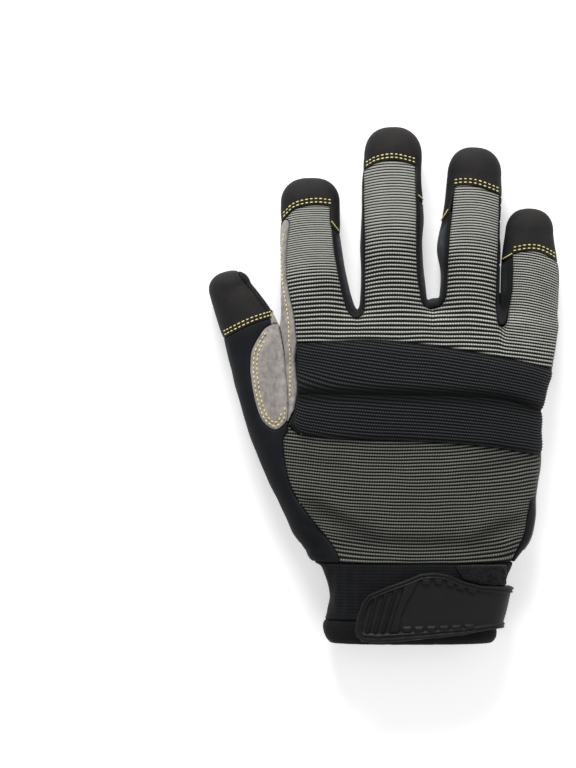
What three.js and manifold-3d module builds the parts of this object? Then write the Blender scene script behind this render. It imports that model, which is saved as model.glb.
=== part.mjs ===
// A right-hand mechanic glove lying palm down: fingers along +Y, thumb towards -X, back of the hand up.
// Units are millimetres. The hollow glove is lofted as tubes, then cut into its sewn panels.
import * as THREE from 'three';
import { mergeVertices } from 'three/addons/utils/BufferGeometryUtils.js';
import Module from 'manifold-3d';

const wasm = await Module();
wasm.setup();

// Driving sizes
const wall = 1.4;
const seamGap = 0.3;
const patchThickness = 1.2;
const padRise = 2.4;
const padGrooveRise = 0.7;
const padGrooveWidth = 4.5;
const hemRise = 0.5;
const hemWall = 2.6;
const tabThickness = 2.4;
const tabRimWidth = 3;
const tabRelief = 0.8;
const tabRibs = 4;
const tabRibWidth = 1.7;
const loopPadThickness = 1.2;
const tape = { width: 17, thickness: 1.3, slit: 0.4, length: 25 };

const hand = { length: 116.5, palmWidth: 124.4, wristWidth: 90.4, height: 33 };
const cuff = { length: 37.7, width: 82.5, height: 27, hemWidth: 11.2 };

// Height of the palm's underside over the table, and of the cuff's underside
const palmFloor = patchThickness + seamGap;
const cuffFloor = 2 * tape.thickness + tape.slit + seamGap;

// Fingers: base is a share of half the palm width, start a share of the hand's length
const fingers = {
  index: { length: 78, width: 28, height: 24, lean: -2.4, base: -0.738, start: 0.868, dome: 0.152 },
  middle: { length: 101.8, width: 28, height: 25, lean: -0.5, base: -0.169, start: 0.868, dome: 0.144 },
  ring: { length: 92.3, width: 28, height: 24, lean: 2.2, base: 0.397, start: 0.868, dome: 0.146 },
  little: { length: 70.7, width: 25.2, height: 21, lean: 3.4, base: 0.82, start: 0.808, dome: 0.16 },
};
const thumb = { length: 135.6, width: 27, height: 25, lean: -16.5, base: -1.0, start: 0.056, dome: 0.06 };

// Sides of each tube: along is a share of its length, left and right are shares of its half width
const handSides = [
  { along: 0, left: -1.005, right: 0.995, top: 0.79 },
  { along: 0.088, left: -1.062, right: 1.112, top: 0.83 },
  { along: 0.168, left: -1.1, right: 1.13, top: 0.87 },
  { along: 0.268, left: -1.148, right: 1.1, top: 0.91 },
  { along: 0.408, left: -1.176, right: 1.094, top: 0.96 },
  { along: 0.528, left: -1.156, right: 1.04, top: 0.99 },
  { along: 0.668, left: -1.084, right: 1.032, top: 1 },
  { along: 0.764, left: -1.044, right: 1.052, top: 0.97 },
  { along: 0.848, left: -1.028, right: 1.06, top: 0.9 },
  { along: 0.93, left: -1.016, right: 1.06, top: 0.8 },
];
const cuffSides = [
  { along: 1, left: -0.97, right: 0.84, top: 0.92 },
  { along: 0.93, left: -1.01, right: 0.88, top: 0.97 },
  { along: 0.78, left: -1.05, right: 0.89, top: 0.98 },
  { along: 0.6, left: -1.01, right: 0.925, top: 0.97 },
  { along: 0.34, left: -0.99, right: 0.985, top: 0.97 },
  { along: 0.12, left: -1.05, right: 1.045, top: 0.97 },
];
const fingerSides = {
  index: [
    { along: 0, left: -1.13, right: 1.23, top: 1 },
    { along: 0.21, left: -1.17, right: 1.27, top: 0.98 },
    { along: 0.3, left: -1.16, right: 1.15, top: 0.95 },
    { along: 0.424, left: -1.13, right: 1.02, top: 0.91 },
    { along: 0.675, left: -1.08, right: 0.88, top: 0.82 },
    { along: 0.848, left: -1.02, right: 0.9, top: 0.74 },
  ],
  middle: [
    { along: 0, left: -1.2, right: 1.17, top: 1 },
    { along: 0.151, left: -1.14, right: 1.14, top: 0.97 },
    { along: 0.32, left: -1.07, right: 1.02, top: 0.9 },
    { along: 0.458, left: -1.09, right: 0.97, top: 0.86 },
    { along: 0.595, left: -1.03, right: 1.03, top: 0.82 },
    { along: 0.755, left: -1.0, right: 0.95, top: 0.76 },
    { along: 0.856, left: -0.92, right: 0.97, top: 0.7 },
  ],
  ring: [
    { along: 0, left: -1.25, right: 1.05, top: 1 },
    { along: 0.227, left: -1.06, right: 0.94, top: 0.95 },
    { along: 0.354, left: -1.04, right: 0.93, top: 0.91 },
    { along: 0.495, left: -1.19, right: 0.92, top: 0.87 },
    { along: 0.621, left: -1.07, right: 0.88, top: 0.82 },
    { along: 0.732, left: -0.98, right: 0.9, top: 0.78 },
    { along: 0.854, left: -0.93, right: 0.84, top: 0.72 },
  ],
  little: [
    { along: 0, left: -1.22, right: 0.92, top: 1 },
    { along: 0.231, left: -1.04, right: 1.03, top: 0.96 },
    { along: 0.429, left: -1.06, right: 1.08, top: 0.9 },
    { along: 0.627, left: -1.09, right: 1.01, top: 0.84 },
    { along: 0.759, left: -1.05, right: 0.82, top: 0.79 },
    { along: 0.84, left: -1.0, right: 0.74, top: 0.75 },
  ],
};
const thumbSides = [
  { along: 0, left: -0.4, right: 0.7, top: 0.8 },
  { along: 0.058, left: -0.62, right: 0.83, top: 0.9 },
  { along: 0.147, left: -0.76, right: 0.97, top: 0.98 },
  { along: 0.31, left: -1.02, right: 1.03, top: 1.04 },
  { along: 0.42, left: -1.12, right: 1.03, top: 1.02 },
  { along: 0.62, left: -1.12, right: 0.98, top: 0.94 },
  { along: 0.76, left: -1.06, right: 0.91, top: 0.86 },
  { along: 0.83, left: -1.07, right: 0.79, top: 0.82 },
  { along: 0.94, left: -1.07, right: 0.38, top: 0.74 },
];

// Roundness of a cross-section above and below its widest line, and where that line lies
const roundTop = 2.4;
const roundBottom = 3.2;
const domeRound = 2.3;
const widestShare = 0.42;
const bottomSag = 2.5;
const handFacets = { outside: 24, inside: 18 };
const fingerFacets = { outside: 14, inside: 8 };

const materials = {
  knit: new THREE.MeshStandardMaterial({ color: 0x8f938a, roughness: 0.9, metalness: 0 }),
  pad: new THREE.MeshStandardMaterial({ color: 0x1c1f24, roughness: 0.85, metalness: 0 }),
  leather: new THREE.MeshStandardMaterial({ color: 0x1a1b1e, roughness: 0.6, metalness: 0 }),
  gusset: new THREE.MeshStandardMaterial({ color: 0x32363c, roughness: 0.55, metalness: 0 }),
  suede: new THREE.MeshStandardMaterial({ color: 0x968f8e, roughness: 0.95, metalness: 0 }),
  elastic: new THREE.MeshStandardMaterial({ color: 0x14171a, roughness: 0.9, metalness: 0 }),
  rubber: new THREE.MeshStandardMaterial({ color: 0x1e2022, roughness: 0.45, metalness: 0 }),
  webbing: new THREE.MeshStandardMaterial({ color: 0xc8050a, roughness: 0.8, metalness: 0 }),
};

// Plan of a point on the hand: across is a share of half the local width, along of the hand's length
function handPoint([across, along]) {
  const width = THREE.MathUtils.lerp(hand.wristWidth, hand.palmWidth, along);
  return [(across * width) / 2, along * hand.length];
}

// Plan of a point on the cuff: along runs from the wrist seam down to the mouth
function cuffPoint([across, along]) {
  return [(across * cuff.width) / 2, -along * cuff.length];
}

// Plan of a point on a finger or the thumb, whose axis starts on the hand and leans by its angle
function fingerPoint(finger, [across, along]) {
  const baseX = (finger.base * hand.palmWidth) / 2;
  const baseY = finger.start * hand.length;
  const turn = THREE.MathUtils.degToRad(finger.lean);
  const side = (across * finger.width) / 2;
  const reach = along * finger.length;
  return [baseX + side * Math.cos(turn) + reach * Math.sin(turn),
    baseY - side * Math.sin(turn) + reach * Math.cos(turn)];
}

function thumbBase() {
  const width = THREE.MathUtils.lerp(hand.wristWidth, hand.palmWidth, thumb.start);
  return { ...thumb, base: (thumb.base * width) / hand.palmWidth };
}

// One closed solid from rings of points and, at its rounded end, a single tip point
function solidFromRings(rings, tip) {
  const points = rings.flat();
  const count = rings[0].length;
  const faces = [];
  const startCentre = points.length;
  points.push(new THREE.Vector3().addVectors(rings[0][0], rings[0][count / 2]).multiplyScalar(0.5));
  const endCentre = points.length;
  points.push(tip);
  for (let ring = 0; ring < rings.length - 1; ring += 1) {
    for (let i = 0; i < count; i += 1) {
      const a = ring * count + i;
      const b = ring * count + ((i + 1) % count);
      faces.push(a, a + count, b, b, a + count, b + count);
    }
  }
  const last = (rings.length - 1) * count;
  for (let i = 0; i < count; i += 1) {
    const next = (i + 1) % count;
    faces.push(startCentre, i, next);
    faces.push(endCentre, last + next, last + i);
  }
  return solid(points.flatMap((point) => point.toArray()), faces);
}

// A solid for cutting and joining, turned the right way out
function solid(positions, faces) {
  const mesh = (order) => new wasm.Mesh({
    numProp: 3,
    vertProperties: new Float32Array(positions),
    triVerts: new Uint32Array(order),
  });
  const made = new wasm.Manifold(mesh(faces));
  if (made.volume() > 0) return made;
  const flipped = faces.map((_, i) => faces[i - (i % 3) + 2 - (i % 3)]);
  return new wasm.Manifold(mesh(flipped));
}

// One ring of a tube in its own frame: grow moves the surface out from the drawn form
function ring(station, facets, grow, toPlan) {
  const middle = (station.left + station.right) / 2;
  const half = ((station.right - station.left) / 2 + grow) * station.shrink;
  const widest = station.floor + widestShare * (station.top - station.floor);
  const above = (station.top - widest + grow) * station.shrink;
  const below = (widest - station.floor + bottomSag + grow) * station.shrink;
  const points = [];
  for (let i = 0; i < facets; i += 1) {
    const angle = (2 * Math.PI * i) / facets;
    const power = 2 / (i < facets / 2 ? roundTop : roundBottom);
    const side = Math.sign(Math.cos(angle)) * Math.abs(Math.cos(angle)) ** power;
    const rise = Math.sign(Math.sin(angle)) * Math.abs(Math.sin(angle)) ** power;
    const [x, y] = toPlan(middle + half * side, station.y);
    const z = Math.max(widest + (rise > 0 ? above : below) * rise, station.floor - grow);
    points.push(new THREE.Vector3(x, y, z));
  }
  return points;
}

// A tube through its stations, with a rounded end past the last one
function tube(stations, domeLength, facetsOf, grow, toPlan) {
  const facets = grow < 0 ? facetsOf.inside : facetsOf.outside;
  const rings = stations.map((station) => ring({ shrink: 1, ...station }, facets, grow, toPlan));
  const last = stations[stations.length - 1];
  for (const share of [0.5, 0.86]) {
    const shrink = (1 - share ** domeRound) ** (1 / domeRound);
    const y = last.y + (domeLength + grow) * share;
    rings.push(ring({ ...last, y, shrink }, facets, grow, toPlan));
  }
  const [x, y] = toPlan((last.left + last.right) / 2, last.y + domeLength + grow);
  const widest = last.floor + widestShare * (last.top - last.floor);
  return solidFromRings(rings, new THREE.Vector3(x, y, widest));
}

// The hand and cuff in one tube; an inner tube runs on past the mouth, so that the mouth is open
function handTube(grow) {
  const mouth = grow < 0 ? 4 * wall : 0;
  const stations = cuffSides.map((row, i) => ({
    y: -row.along * cuff.length - (i === 0 ? mouth : 0),
    left: (row.left * cuff.width) / 2,
    right: (row.right * cuff.width) / 2,
    top: row.top * cuff.height,
    floor: cuffFloor,
  }));
  for (const row of handSides) {
    const width = THREE.MathUtils.lerp(hand.wristWidth, hand.palmWidth, row.along);
    stations.push({
      y: row.along * hand.length,
      left: (row.left * width) / 2,
      right: (row.right * width) / 2,
      top: row.top * hand.height,
      floor: THREE.MathUtils.lerp(cuffFloor, palmFloor, THREE.MathUtils.smoothstep(row.along, 0, 0.16)),
    });
  }
  const dome = (1 - handSides[handSides.length - 1].along) * hand.length;
  return tube(stations, dome, handFacets, grow, (x, y) => [x, y]);
}

// A finger: its underside leaves the palm's level and comes down to the table
function fingerTube(finger, sides, grow) {
  const stations = sides.map((row) => ({
    y: row.along * finger.length,
    left: (row.left * finger.width) / 2,
    right: (row.right * finger.width) / 2,
    top: row.top * finger.height,
    floor: palmFloor * (1 - THREE.MathUtils.smoothstep(row.along, 0.2, 0.45)),
  }));
  const toPlan = (x, y) => fingerPoint(finger, [(2 * x) / finger.width, y / finger.length]);
  return tube(stations, finger.dome * finger.length, fingerFacets, grow, toPlan);
}

// The whole outer form, moved out by grow
function form(grow) {
  const parts = Object.entries(fingers).map(([name, finger]) => fingerTube(finger, fingerSides[name], grow));
  parts.push(fingerTube(thumbBase(), thumbSides, grow));
  return parts.reduce((whole, part) => whole.add(part), handTube(grow));
}

// The layer of the form between two distances from its drawn surface
function layer(outer, inner) {
  return form(outer).subtract(form(inner));
}

// A plan outline moved outwards by grow
function grownOutline(outline, grow) {
  const points = outline.map(([x, y]) => new THREE.Vector2(x, y));
  if (THREE.ShapeUtils.area(points) < 0) points.reverse();
  return points.map((point, i) => {
    const before = points[(i + points.length - 1) % points.length];
    const after = points[(i + 1) % points.length];
    const along = new THREE.Vector2().subVectors(after, before).normalize();
    return new THREE.Vector2(point.x + along.y * grow, point.y - along.x * grow);
  });
}

// A cutter that stands on a plan outline between two heights
function prism(outline, low, high, grow = 0) {
  const shape = new THREE.Shape(grownOutline(outline, grow));
  const depth = high - low + 2 * grow;
  const geometry = new THREE.ExtrudeGeometry(shape, { depth, bevelEnabled: false });
  geometry.translate(0, 0, low - grow);
  geometry.deleteAttribute('normal');
  geometry.deleteAttribute('uv');
  const merged = mergeVertices(geometry);
  return solid(merged.attributes.position.array, merged.index.array);
}

// A cutter made of several outlines, each with the heights that it spans
function cutter(pieces, grow = 0) {
  return pieces
    .map(({ outline, low, high }) => prism(outline, low, high, grow))
    .reduce((whole, piece) => whole.add(piece));
}

// The largest body of a solid, without the slivers that a cut leaves
function mainBody(made) {
  return made.decompose().sort((a, b) => b.volume() - a.volume())[0];
}

const glove = new THREE.Group();

function addPiece(name, made, material) {
  const { vertProperties, triVerts } = mainBody(made).getMesh();
  const geometry = new THREE.BufferGeometry();
  geometry.setAttribute('position', new THREE.BufferAttribute(vertProperties, 3));
  geometry.setIndex(new THREE.BufferAttribute(triVerts, 1));
  geometry.computeVertexNormals();
  const mesh = new THREE.Mesh(geometry, material);
  mesh.name = name;
  glove.add(mesh);
}

// Heights that the cutters use: over everything, under everything, and the sides' seams
const above = hand.height + 3 * padRise;
const below = -above;
const handSeam = palmFloor + widestShare * (hand.height - palmFloor) * 0.9;
const fingerTopSeam = 0.42 * fingers.middle.height;
const fingerPalmSeam = 0.22 * fingers.middle.height;
const beyond = 1.6;

// What is left of the sewn shell, from which each panel is cut in turn
let shell = layer(0, -wall);

function cutPanel(name, pieces, material) {
  addPiece(name, shell.intersect(cutter(pieces)), material);
  shell = shell.subtract(cutter(pieces, seamGap));
}

// Black caps wrapped over the finger ends, their edge drawn from left to right
const capEdges = {
  index: [[-beyond, 0.74], [-1.05, 0.75], [-0.6, 0.812], [0, 0.833], [0.5, 0.826], [beyond, 0.8]],
  middle: [[-beyond, 0.79], [-0.95, 0.805], [-0.55, 0.831], [0, 0.842], [0.55, 0.828], [beyond, 0.81]],
  ring: [[-beyond, 0.73], [-1.0, 0.75], [-0.66, 0.798], [-0.1, 0.8], [0.45, 0.778], [beyond, 0.74]],
  little: [[-1.15, 0.65], [-1.05, 0.67], [-0.64, 0.698], [-0.14, 0.715], [0.43, 0.702], [beyond, 0.64]],
};
for (const [name, finger] of Object.entries(fingers)) {
  const leftmost = capEdges[name][0][0];
  const outline = [...capEdges[name], [beyond, 1.1], [leftmost, 1.1]].map((at) => fingerPoint(finger, at));
  cutPanel(`${name}_tip`, [{ outline, low: fingerPalmSeam, high: above }], materials.leather);
}
const thumbFrame = thumbBase();
const thumbCap = [[-beyond, 0.775], [0, 0.8], [0.88, 0.803], [0.93, 0.84], [0.75, 0.9], [0.6, 1.1],
  [-beyond, 1.1]];
cutPanel('thumb_tip', [{
  outline: thumbCap.map((at) => fingerPoint(thumbFrame, at)),
  low: fingerPalmSeam,
  high: above,
}], materials.leather);

// Grey suede: the oval in the thumb's crotch and the strip up the index finger's side
const crotchOutline = [
  [0.84, 0.778], [0.5, 0.776], [0.24, 0.76], [-0.21, 0.716], [-0.42, 0.668], [-0.54, 0.618], [-0.62, 0.542],
  [-0.57, 0.475], [-0.26, 0.434], [0.13, 0.444], [0.31, 0.467], [0.51, 0.533], [0.68, 0.618], [0.81, 0.686],
  [0.88, 0.755],
].map((at) => fingerPoint(thumbFrame, at));
cutPanel('thumb_crotch_patch', [{ outline: crotchOutline, low: handSeam, high: above }], materials.suede);

const indexStripOutline = [
  ...[[-0.7, 0.73], [-0.86, 0.6], [-0.9, 0.42], [-0.82, 0.3], [-0.74, 0.16], [-0.72, 0.02]]
    .map((at) => fingerPoint(fingers.index, at)),
  ...[[-1.0, 0.8], [-1.01, 0.69], [-1.06, 0.6], [-1.15, 0.69], [-1.12, 0.86]].map(handPoint),
  ...[[-1.5, 0.16], [-1.5, 0.6], [-1.0, 0.74]].map((at) => fingerPoint(fingers.index, at)),
];
cutPanel('index_side_patch', [{ outline: indexStripOutline, low: fingerTopSeam, high: above }],
  materials.suede);

// Black padded panel across the knuckles: its edges run from the thumb side to the little finger
const padTop = [[-0.935, 0.872], [-0.664, 0.878], [-0.431, 0.884], [-0.198, 0.88], [0.113, 0.862],
  [0.427, 0.836], [0.75, 0.806], [beyond, 0.76]];
const padMiddle = [[-0.985, 0.672], [-0.128, 0.668], [0.325, 0.664], [0.705, 0.65], [beyond, 0.58]];
const padBottom = [[-1.04, 0.54], [-0.97, 0.512], [-0.655, 0.496], [-0.135, 0.49], [0.213, 0.482],
  [0.563, 0.468], [0.872, 0.448], [beyond, 0.42]];
const shifted = (edge, by) => edge.map(([across, along]) => [across, along + by]);
const band = (lower, upper) => [...lower, ...[...upper].reverse()].map(handPoint);
const padPiece = { outline: band(padBottom, padTop), low: handSeam, high: above };
const groove = padGrooveWidth / 2 / hand.length;
const puffs = cutter([
  { outline: band(shifted(padBottom, groove), shifted(padMiddle, -groove)), low: handSeam, high: above },
  { outline: band(shifted(padMiddle, groove), shifted(padTop, -groove)), low: handSeam, high: above },
]);
const padBase = layer(padGrooveRise, -wall).intersect(cutter([padPiece]));
addPiece('knuckle_pad', padBase.add(layer(padRise, -wall / 2).intersect(puffs).intersect(cutter([padPiece]))),
  materials.pad);
shell = shell.subtract(cutter([padPiece], seamGap));

// Grey knit: the finger backs in one panel, and the back of the hand
const knitSides = {
  index: { left: -0.92, right: 0.74 },
  middle: { left: -0.92, right: 0.86 },
  ring: { left: -0.74, right: 1 },
  little: { left: -0.72, right: beyond },
};
const fingerBacks = Object.entries(fingers).map(([name, finger]) => {
  const { left, right } = knitSides[name];
  const tip = capEdges[name].map(([across, along]) => [THREE.MathUtils.clamp(across, left, right), along]);
  const outline = [[right, 0], ...tip.reverse(), [left, 0]].map((at) => fingerPoint(finger, at));
  return { outline, low: fingerTopSeam, high: above };
});
const webLine = [[-0.93, 0.96], [-0.6, 0.97], [-0.4, 0.975], [0, 0.985], [0.11, 0.99], [0.4, 0.96],
  [0.63, 0.93], [beyond, 0.86]];
fingerBacks.push({
  outline: [...padTop, ...[...webLine].reverse()].map(handPoint),
  low: fingerTopSeam,
  high: above,
});
cutPanel('finger_backs', fingerBacks, materials.knit);

const backLeft = [[-1.08, 0.512], [-1.11, 0.408], [-1.1, 0.328], [-1.07, 0.268], [-1.0, 0.204],
  [-0.92, 0.144], [-0.85, 0.088], [-0.8, 0.032], [-0.766, 0]];
const backRight = [[0.964, 0], [1.01, 0.048], [1.06, 0.108], [1.07, 0.168], [1.06, 0.25], [beyond, 0.27],
  [beyond, 0.41], [0.872, 0.44]];
cutPanel('hand_back_panel', [{
  outline: [...backLeft, ...backRight, [0.2, 0.475], [-0.135, 0.483], [-0.655, 0.489], [-0.9, 0.505],
    [-1.0, 0.52]].map(handPoint),
  low: handSeam,
  high: above,
}], materials.knit);
cutPanel('side_binding', [{
  outline: [[0.9, 0], [0.9, 0.27], [beyond, 0.27], [beyond, 0]].map(handPoint),
  low: handSeam,
  high: above,
}], materials.leather);

// The cuff and its hem, cut off the shell below the wrist seam
const hemShare = 1 - cuff.hemWidth / cuff.length;
const across = (from, to) => [[-beyond, from], [beyond, from], [beyond, to], [-beyond, to]].map(cuffPoint);
const everyHeight = (outline) => ({ outline, low: below, high: above });
const seamShare = seamGap / cuff.length;
addPiece('cuff', shell.intersect(cutter([everyHeight(across(seamShare, hemShare))])), materials.elastic);
addPiece('cuff_hem', layer(hemRise, -hemWall).intersect(
  cutter([everyHeight(across(hemShare + seamShare, 1 + wall / cuff.length))])), materials.elastic);
shell = shell.subtract(cutter([everyHeight(across(0, 1 + cuff.hemWidth / cuff.length))]));

// Side strips between neighbouring fingers, above the palm's seam and below the knit
function gusset(name, leftFinger, rightFinger) {
  const outline = [
    ...[[0.1, 0], [0.1, 0.9], [beyond, 0.9]].map((at) => fingerPoint(leftFinger, at)),
    ...[[-beyond, 0.9], [-0.1, 0.9], [-0.1, 0]].map((at) => fingerPoint(rightFinger, at)),
  ];
  cutPanel(name, [{ outline, low: fingerPalmSeam, high: above }], materials.gusset);
}
gusset('index_middle_gusset', fingers.index, fingers.middle);
gusset('middle_ring_gusset', fingers.middle, fingers.ring);
gusset('ring_little_gusset', fingers.ring, fingers.little);

// The thumb's black back and front, which run down to the wrist, and the palm with the finger fronts
const thumbReach = [
  [-1.18, 0], [-1.16, 0.1], [-1.14, 0.17], [-1.08, 0.3], [-1.0, 0.45], [-1.0, 0.6], [-1.02, 0.66],
].map(handPoint);
const thumbOuter = [[0.95, 0.78], [1.3, 1.1], [-beyond, 1.1], [-2.2, 0.4], [-beyond, -0.05]]
  .map((at) => fingerPoint(thumbFrame, at));
const thumbBackInner = [[-0.6, 0], [-0.7, 0.1], [-0.9, 0.22], [-1.0, 0.3], [-0.98, 0.45], [-0.98, 0.6],
  [-1.0, 0.68]].map(handPoint);
cutPanel('thumb_back_panel', [{
  outline: [...thumbBackInner, ...thumbOuter],
  low: handSeam,
  high: above,
}], materials.leather);
cutPanel('thumb_front', [{ outline: [...thumbReach, ...thumbOuter], low: below, high: handSeam - seamGap }],
  materials.leather);
addPiece('palm_panel', shell, materials.leather);

// Suede patches under the palm
function palmPatch(name, outline) {
  const patchLayer = layer(palmFloor, seamGap);
  const patch = patchLayer.intersect(prism(outline.map(handPoint), below, handSeam));
  addPiece(name, patch, materials.suede);
}
palmPatch('upper_palm_patch', [
  [-0.82, 0.872], [-0.79, 0.94], [-0.66, 0.975], [-0.52, 0.97], [-0.4, 0.944], [-0.25, 0.97], [-0.09, 0.985],
  [0.05, 0.97], [0.16, 0.935], [0.3, 0.955], [0.46, 0.95], [0.6, 0.9], [0.72, 0.87], [0.84, 0.84],
  [0.86, 0.78], [0.78, 0.74], [0.3, 0.745], [-0.25, 0.765], [-0.7, 0.755],
]);
palmPatch('heel_patch', [
  [-0.524, 0.712], [-0.6, 0.69], [-0.63, 0.648], [-0.474, 0.606], [-0.312, 0.544], [-0.109, 0.474],
  [0.04, 0.424], [0.15, 0.344], [0.238, 0.272], [0.294, 0.188], [0.339, 0.132], [0.482, 0.1], [0.767, 0.076],
  [1.3, 0.1], [1.3, 0.66], [0.78, 0.71], [0.168, 0.692],
]);
palmPatch('thumb_base_patch', [
  [-0.86, 0.606], [-0.714, 0.624], [-0.544, 0.592], [-0.315, 0.516], [-0.146, 0.44], [-0.032, 0.368],
  [0.014, 0.308], [-0.024, 0.244], [-0.12, 0.196], [-0.325, 0.17], [-0.507, 0.182], [-0.656, 0.244],
  [-0.753, 0.344], [-0.794, 0.468], [-0.853, 0.536],
]);

// Moulded closure tab: top edge from its tip round the little-finger side, then back along the bottom
const tabTop = [[-0.665, 0.654], [-0.605, 0.469], [-0.541, 0.37], [-0.345, 0.272], [-0.13, 0.185], [0.017, 0.117],
  [0.17, 0.1], [0.322, 0.123], [0.503, 0.21], [0.695, 0.265], [0.92, 0.275], [beyond, 0.28]];
const tabBottom = [[beyond, 0.76], [0.91, 0.79], [0.469, 0.864], [0.017, 0.9], [-0.435, 0.926],
  [-0.616, 0.914], [-0.678, 0.864], [-0.685, 0.8]];
const tabOutline = [...tabTop, ...tabBottom].map(cuffPoint);
const tabSeat = hemRise + seamGap;
const tabFaceRise = tabSeat + tabThickness;
const tabWrap = [[0.84, 0.3], [beyond, 0.3], [beyond, 0.76], [0.84, 0.76]].map(cuffPoint);
const tabSide = 0.5 * cuff.height;
const tabFace = { outline: tabOutline, low: tabSide, high: above };
const tabBody = layer(tabFaceRise, tabSeat).intersect(
  cutter([tabFace, { outline: tabWrap, low: below, high: tabSide + seamGap }]));
const tabRaised = layer(tabFaceRise + tabRelief, tabSeat + tabThickness / 2);
const rim = prism(tabOutline, tabSide + seamGap, above)
  .subtract(prism(grownOutline(tabOutline, -tabRimWidth).map((at) => at.toArray()), below, above));
const ribs = [];
for (let i = 0; i < tabRibs; i += 1) {
  const bottomAt = -0.575 + 0.083 * i;
  const topAt = -0.475 + 0.105 * i;
  const topEnd = 0.4 - 0.044 * i;
  const width = (2 * tabRibWidth) / cuff.width;
  ribs.push({
    outline: [[bottomAt, 0.84], [bottomAt + width, 0.84], [topAt + width, topEnd], [topAt, topEnd]].map(cuffPoint),
    low: tabSide + seamGap,
    high: above,
  });
}
const reliefCut = cutter(ribs).intersect(prism(tabOutline, tabSide, above)).add(rim);
addPiece('closure_tab', tabBody.add(tabRaised.intersect(reliefCut)), materials.rubber);

// Loop-fastener patch that shows above the tab, and the webbing loop folded back under the cuff
const loopPadOutline = [[0.42, 0.02], [0.98, 0.02], [0.98, 0.26], [0.695, 0.245], [0.503, 0.185]].map(cuffPoint);
addPiece('closure_pad', layer(seamGap + loopPadThickness, seamGap).intersect(prism(loopPadOutline, tabSide, above)),
  materials.elastic);

const tapeCentre = -0.15 * cuff.width / 2;
const tapeEnd = -hemShare * cuff.length + seamGap;
const tapeStart = tapeEnd + tape.length;
const tapeHeight = 2 * tape.thickness + tape.slit;
const tapeRound = tapeHeight / 2;
const tapeSide = new THREE.Shape();
tapeSide.moveTo(tapeStart, 0);
tapeSide.lineTo(tapeStart, tape.thickness);
tapeSide.lineTo(tapeEnd + tapeRound, tape.thickness);
tapeSide.absarc(tapeEnd + tapeRound, tapeRound, tape.slit / 2, 1.5 * Math.PI, 0.5 * Math.PI, true);
tapeSide.lineTo(tapeStart, tape.thickness + tape.slit);
tapeSide.lineTo(tapeStart, tapeHeight);
tapeSide.lineTo(tapeEnd + tapeRound, tapeHeight);
tapeSide.absarc(tapeEnd + tapeRound, tapeRound, tapeRound, 0.5 * Math.PI, 1.5 * Math.PI, false);
const tapeGeometry = new THREE.ExtrudeGeometry(tapeSide, { depth: tape.width, bevelEnabled: false, curveSegments: 4 });
const pullLoop = new THREE.Mesh(tapeGeometry, materials.webbing);
pullLoop.name = 'pull_loop';
pullLoop.rotation.set(Math.PI / 2, Math.PI / 2, 0);
pullLoop.position.set(tapeCentre - tape.width / 2, 0, 0);
glove.add(pullLoop);

// The origin is at the bottom centre of the whole glove
glove.updateMatrixWorld(true);
const box = new THREE.Box3().setFromObject(glove, true);
const middle = box.getCenter(new THREE.Vector3());
glove.position.set(-middle.x, -middle.y, -box.min.z);

export default glove;
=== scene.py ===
"""A right-hand mechanic glove lying palm down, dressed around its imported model.

The glove's form is a set of rounded tubes (hand with cuff, four fingers, thumb) joined smoothly. Its skin is
meshed from that form. Each sewn panel is cut out of the skin along its seams and gets its own thickness, ribs,
puffs and stitching. Sizes are in millimetres until a mesh is made.
"""

from __future__ import annotations

import logging
import math
from dataclasses import dataclass, field
from enum import Enum
from typing import ClassVar, Sequence

import bpy
import numpy as np
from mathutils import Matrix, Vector


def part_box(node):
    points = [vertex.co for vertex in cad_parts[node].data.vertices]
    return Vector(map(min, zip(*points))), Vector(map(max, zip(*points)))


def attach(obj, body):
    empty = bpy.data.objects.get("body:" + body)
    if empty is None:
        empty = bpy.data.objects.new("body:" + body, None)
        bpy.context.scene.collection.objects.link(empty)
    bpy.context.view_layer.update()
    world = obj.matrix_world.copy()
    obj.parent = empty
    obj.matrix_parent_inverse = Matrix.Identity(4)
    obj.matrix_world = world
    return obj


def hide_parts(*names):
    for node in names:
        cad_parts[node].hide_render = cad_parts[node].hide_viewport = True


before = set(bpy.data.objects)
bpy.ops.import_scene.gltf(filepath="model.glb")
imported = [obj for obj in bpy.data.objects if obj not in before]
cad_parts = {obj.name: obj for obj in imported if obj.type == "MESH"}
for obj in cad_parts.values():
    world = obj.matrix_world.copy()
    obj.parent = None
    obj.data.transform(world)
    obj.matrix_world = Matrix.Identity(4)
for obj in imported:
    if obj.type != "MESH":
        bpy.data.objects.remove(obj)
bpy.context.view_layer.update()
LOG = logging.getLogger("glove")
MM = 0.001
Array = np.ndarray
Point = tuple[float, float]
Point3 = tuple[float, float, float]
Line = tuple[Point, ...]


@dataclass(frozen=True)
class Cloth:
    """Thicknesses and gaps in millimetres; tape_place is a share of half the cuff width."""

    wall: float = 1.4
    seam_gap: float = 0.3
    patch: float = 1.2
    pad_rise: float = 2.4
    hem_rise: float = 0.5
    hem_wall: float = 2.6
    tab: float = 2.4
    loop_pad: float = 1.2
    tape: float = 1.3
    tape_slit: float = 0.4
    tape_width: float = 17.0
    tape_length: float = 25.0
    tape_place: float = -0.15


@dataclass(frozen=True)
class HandSize:
    """The hand and its cuff, in millimetres."""

    length: float = 116.5
    palm_width: float = 124.4
    wrist_width: float = 90.4
    height: float = 33.0
    cuff_length: float = 37.7
    cuff_width: float = 82.5
    cuff_height: float = 27.0
    hem_width: float = 11.2

    def width_at(self, along: Array | float) -> Array | float:
        """Width of the hand at a share of its length."""
        return self.wrist_width + (self.palm_width - self.wrist_width) * along


@dataclass(frozen=True)
class Digit:
    """A finger or the thumb: base is a share of half the palm width, start a share of the hand's length."""

    name: str
    length: float
    width: float
    height: float
    lean: float
    base: float
    start: float
    dome: float
    sides: tuple[tuple[float, float, float, float], ...]


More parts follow.
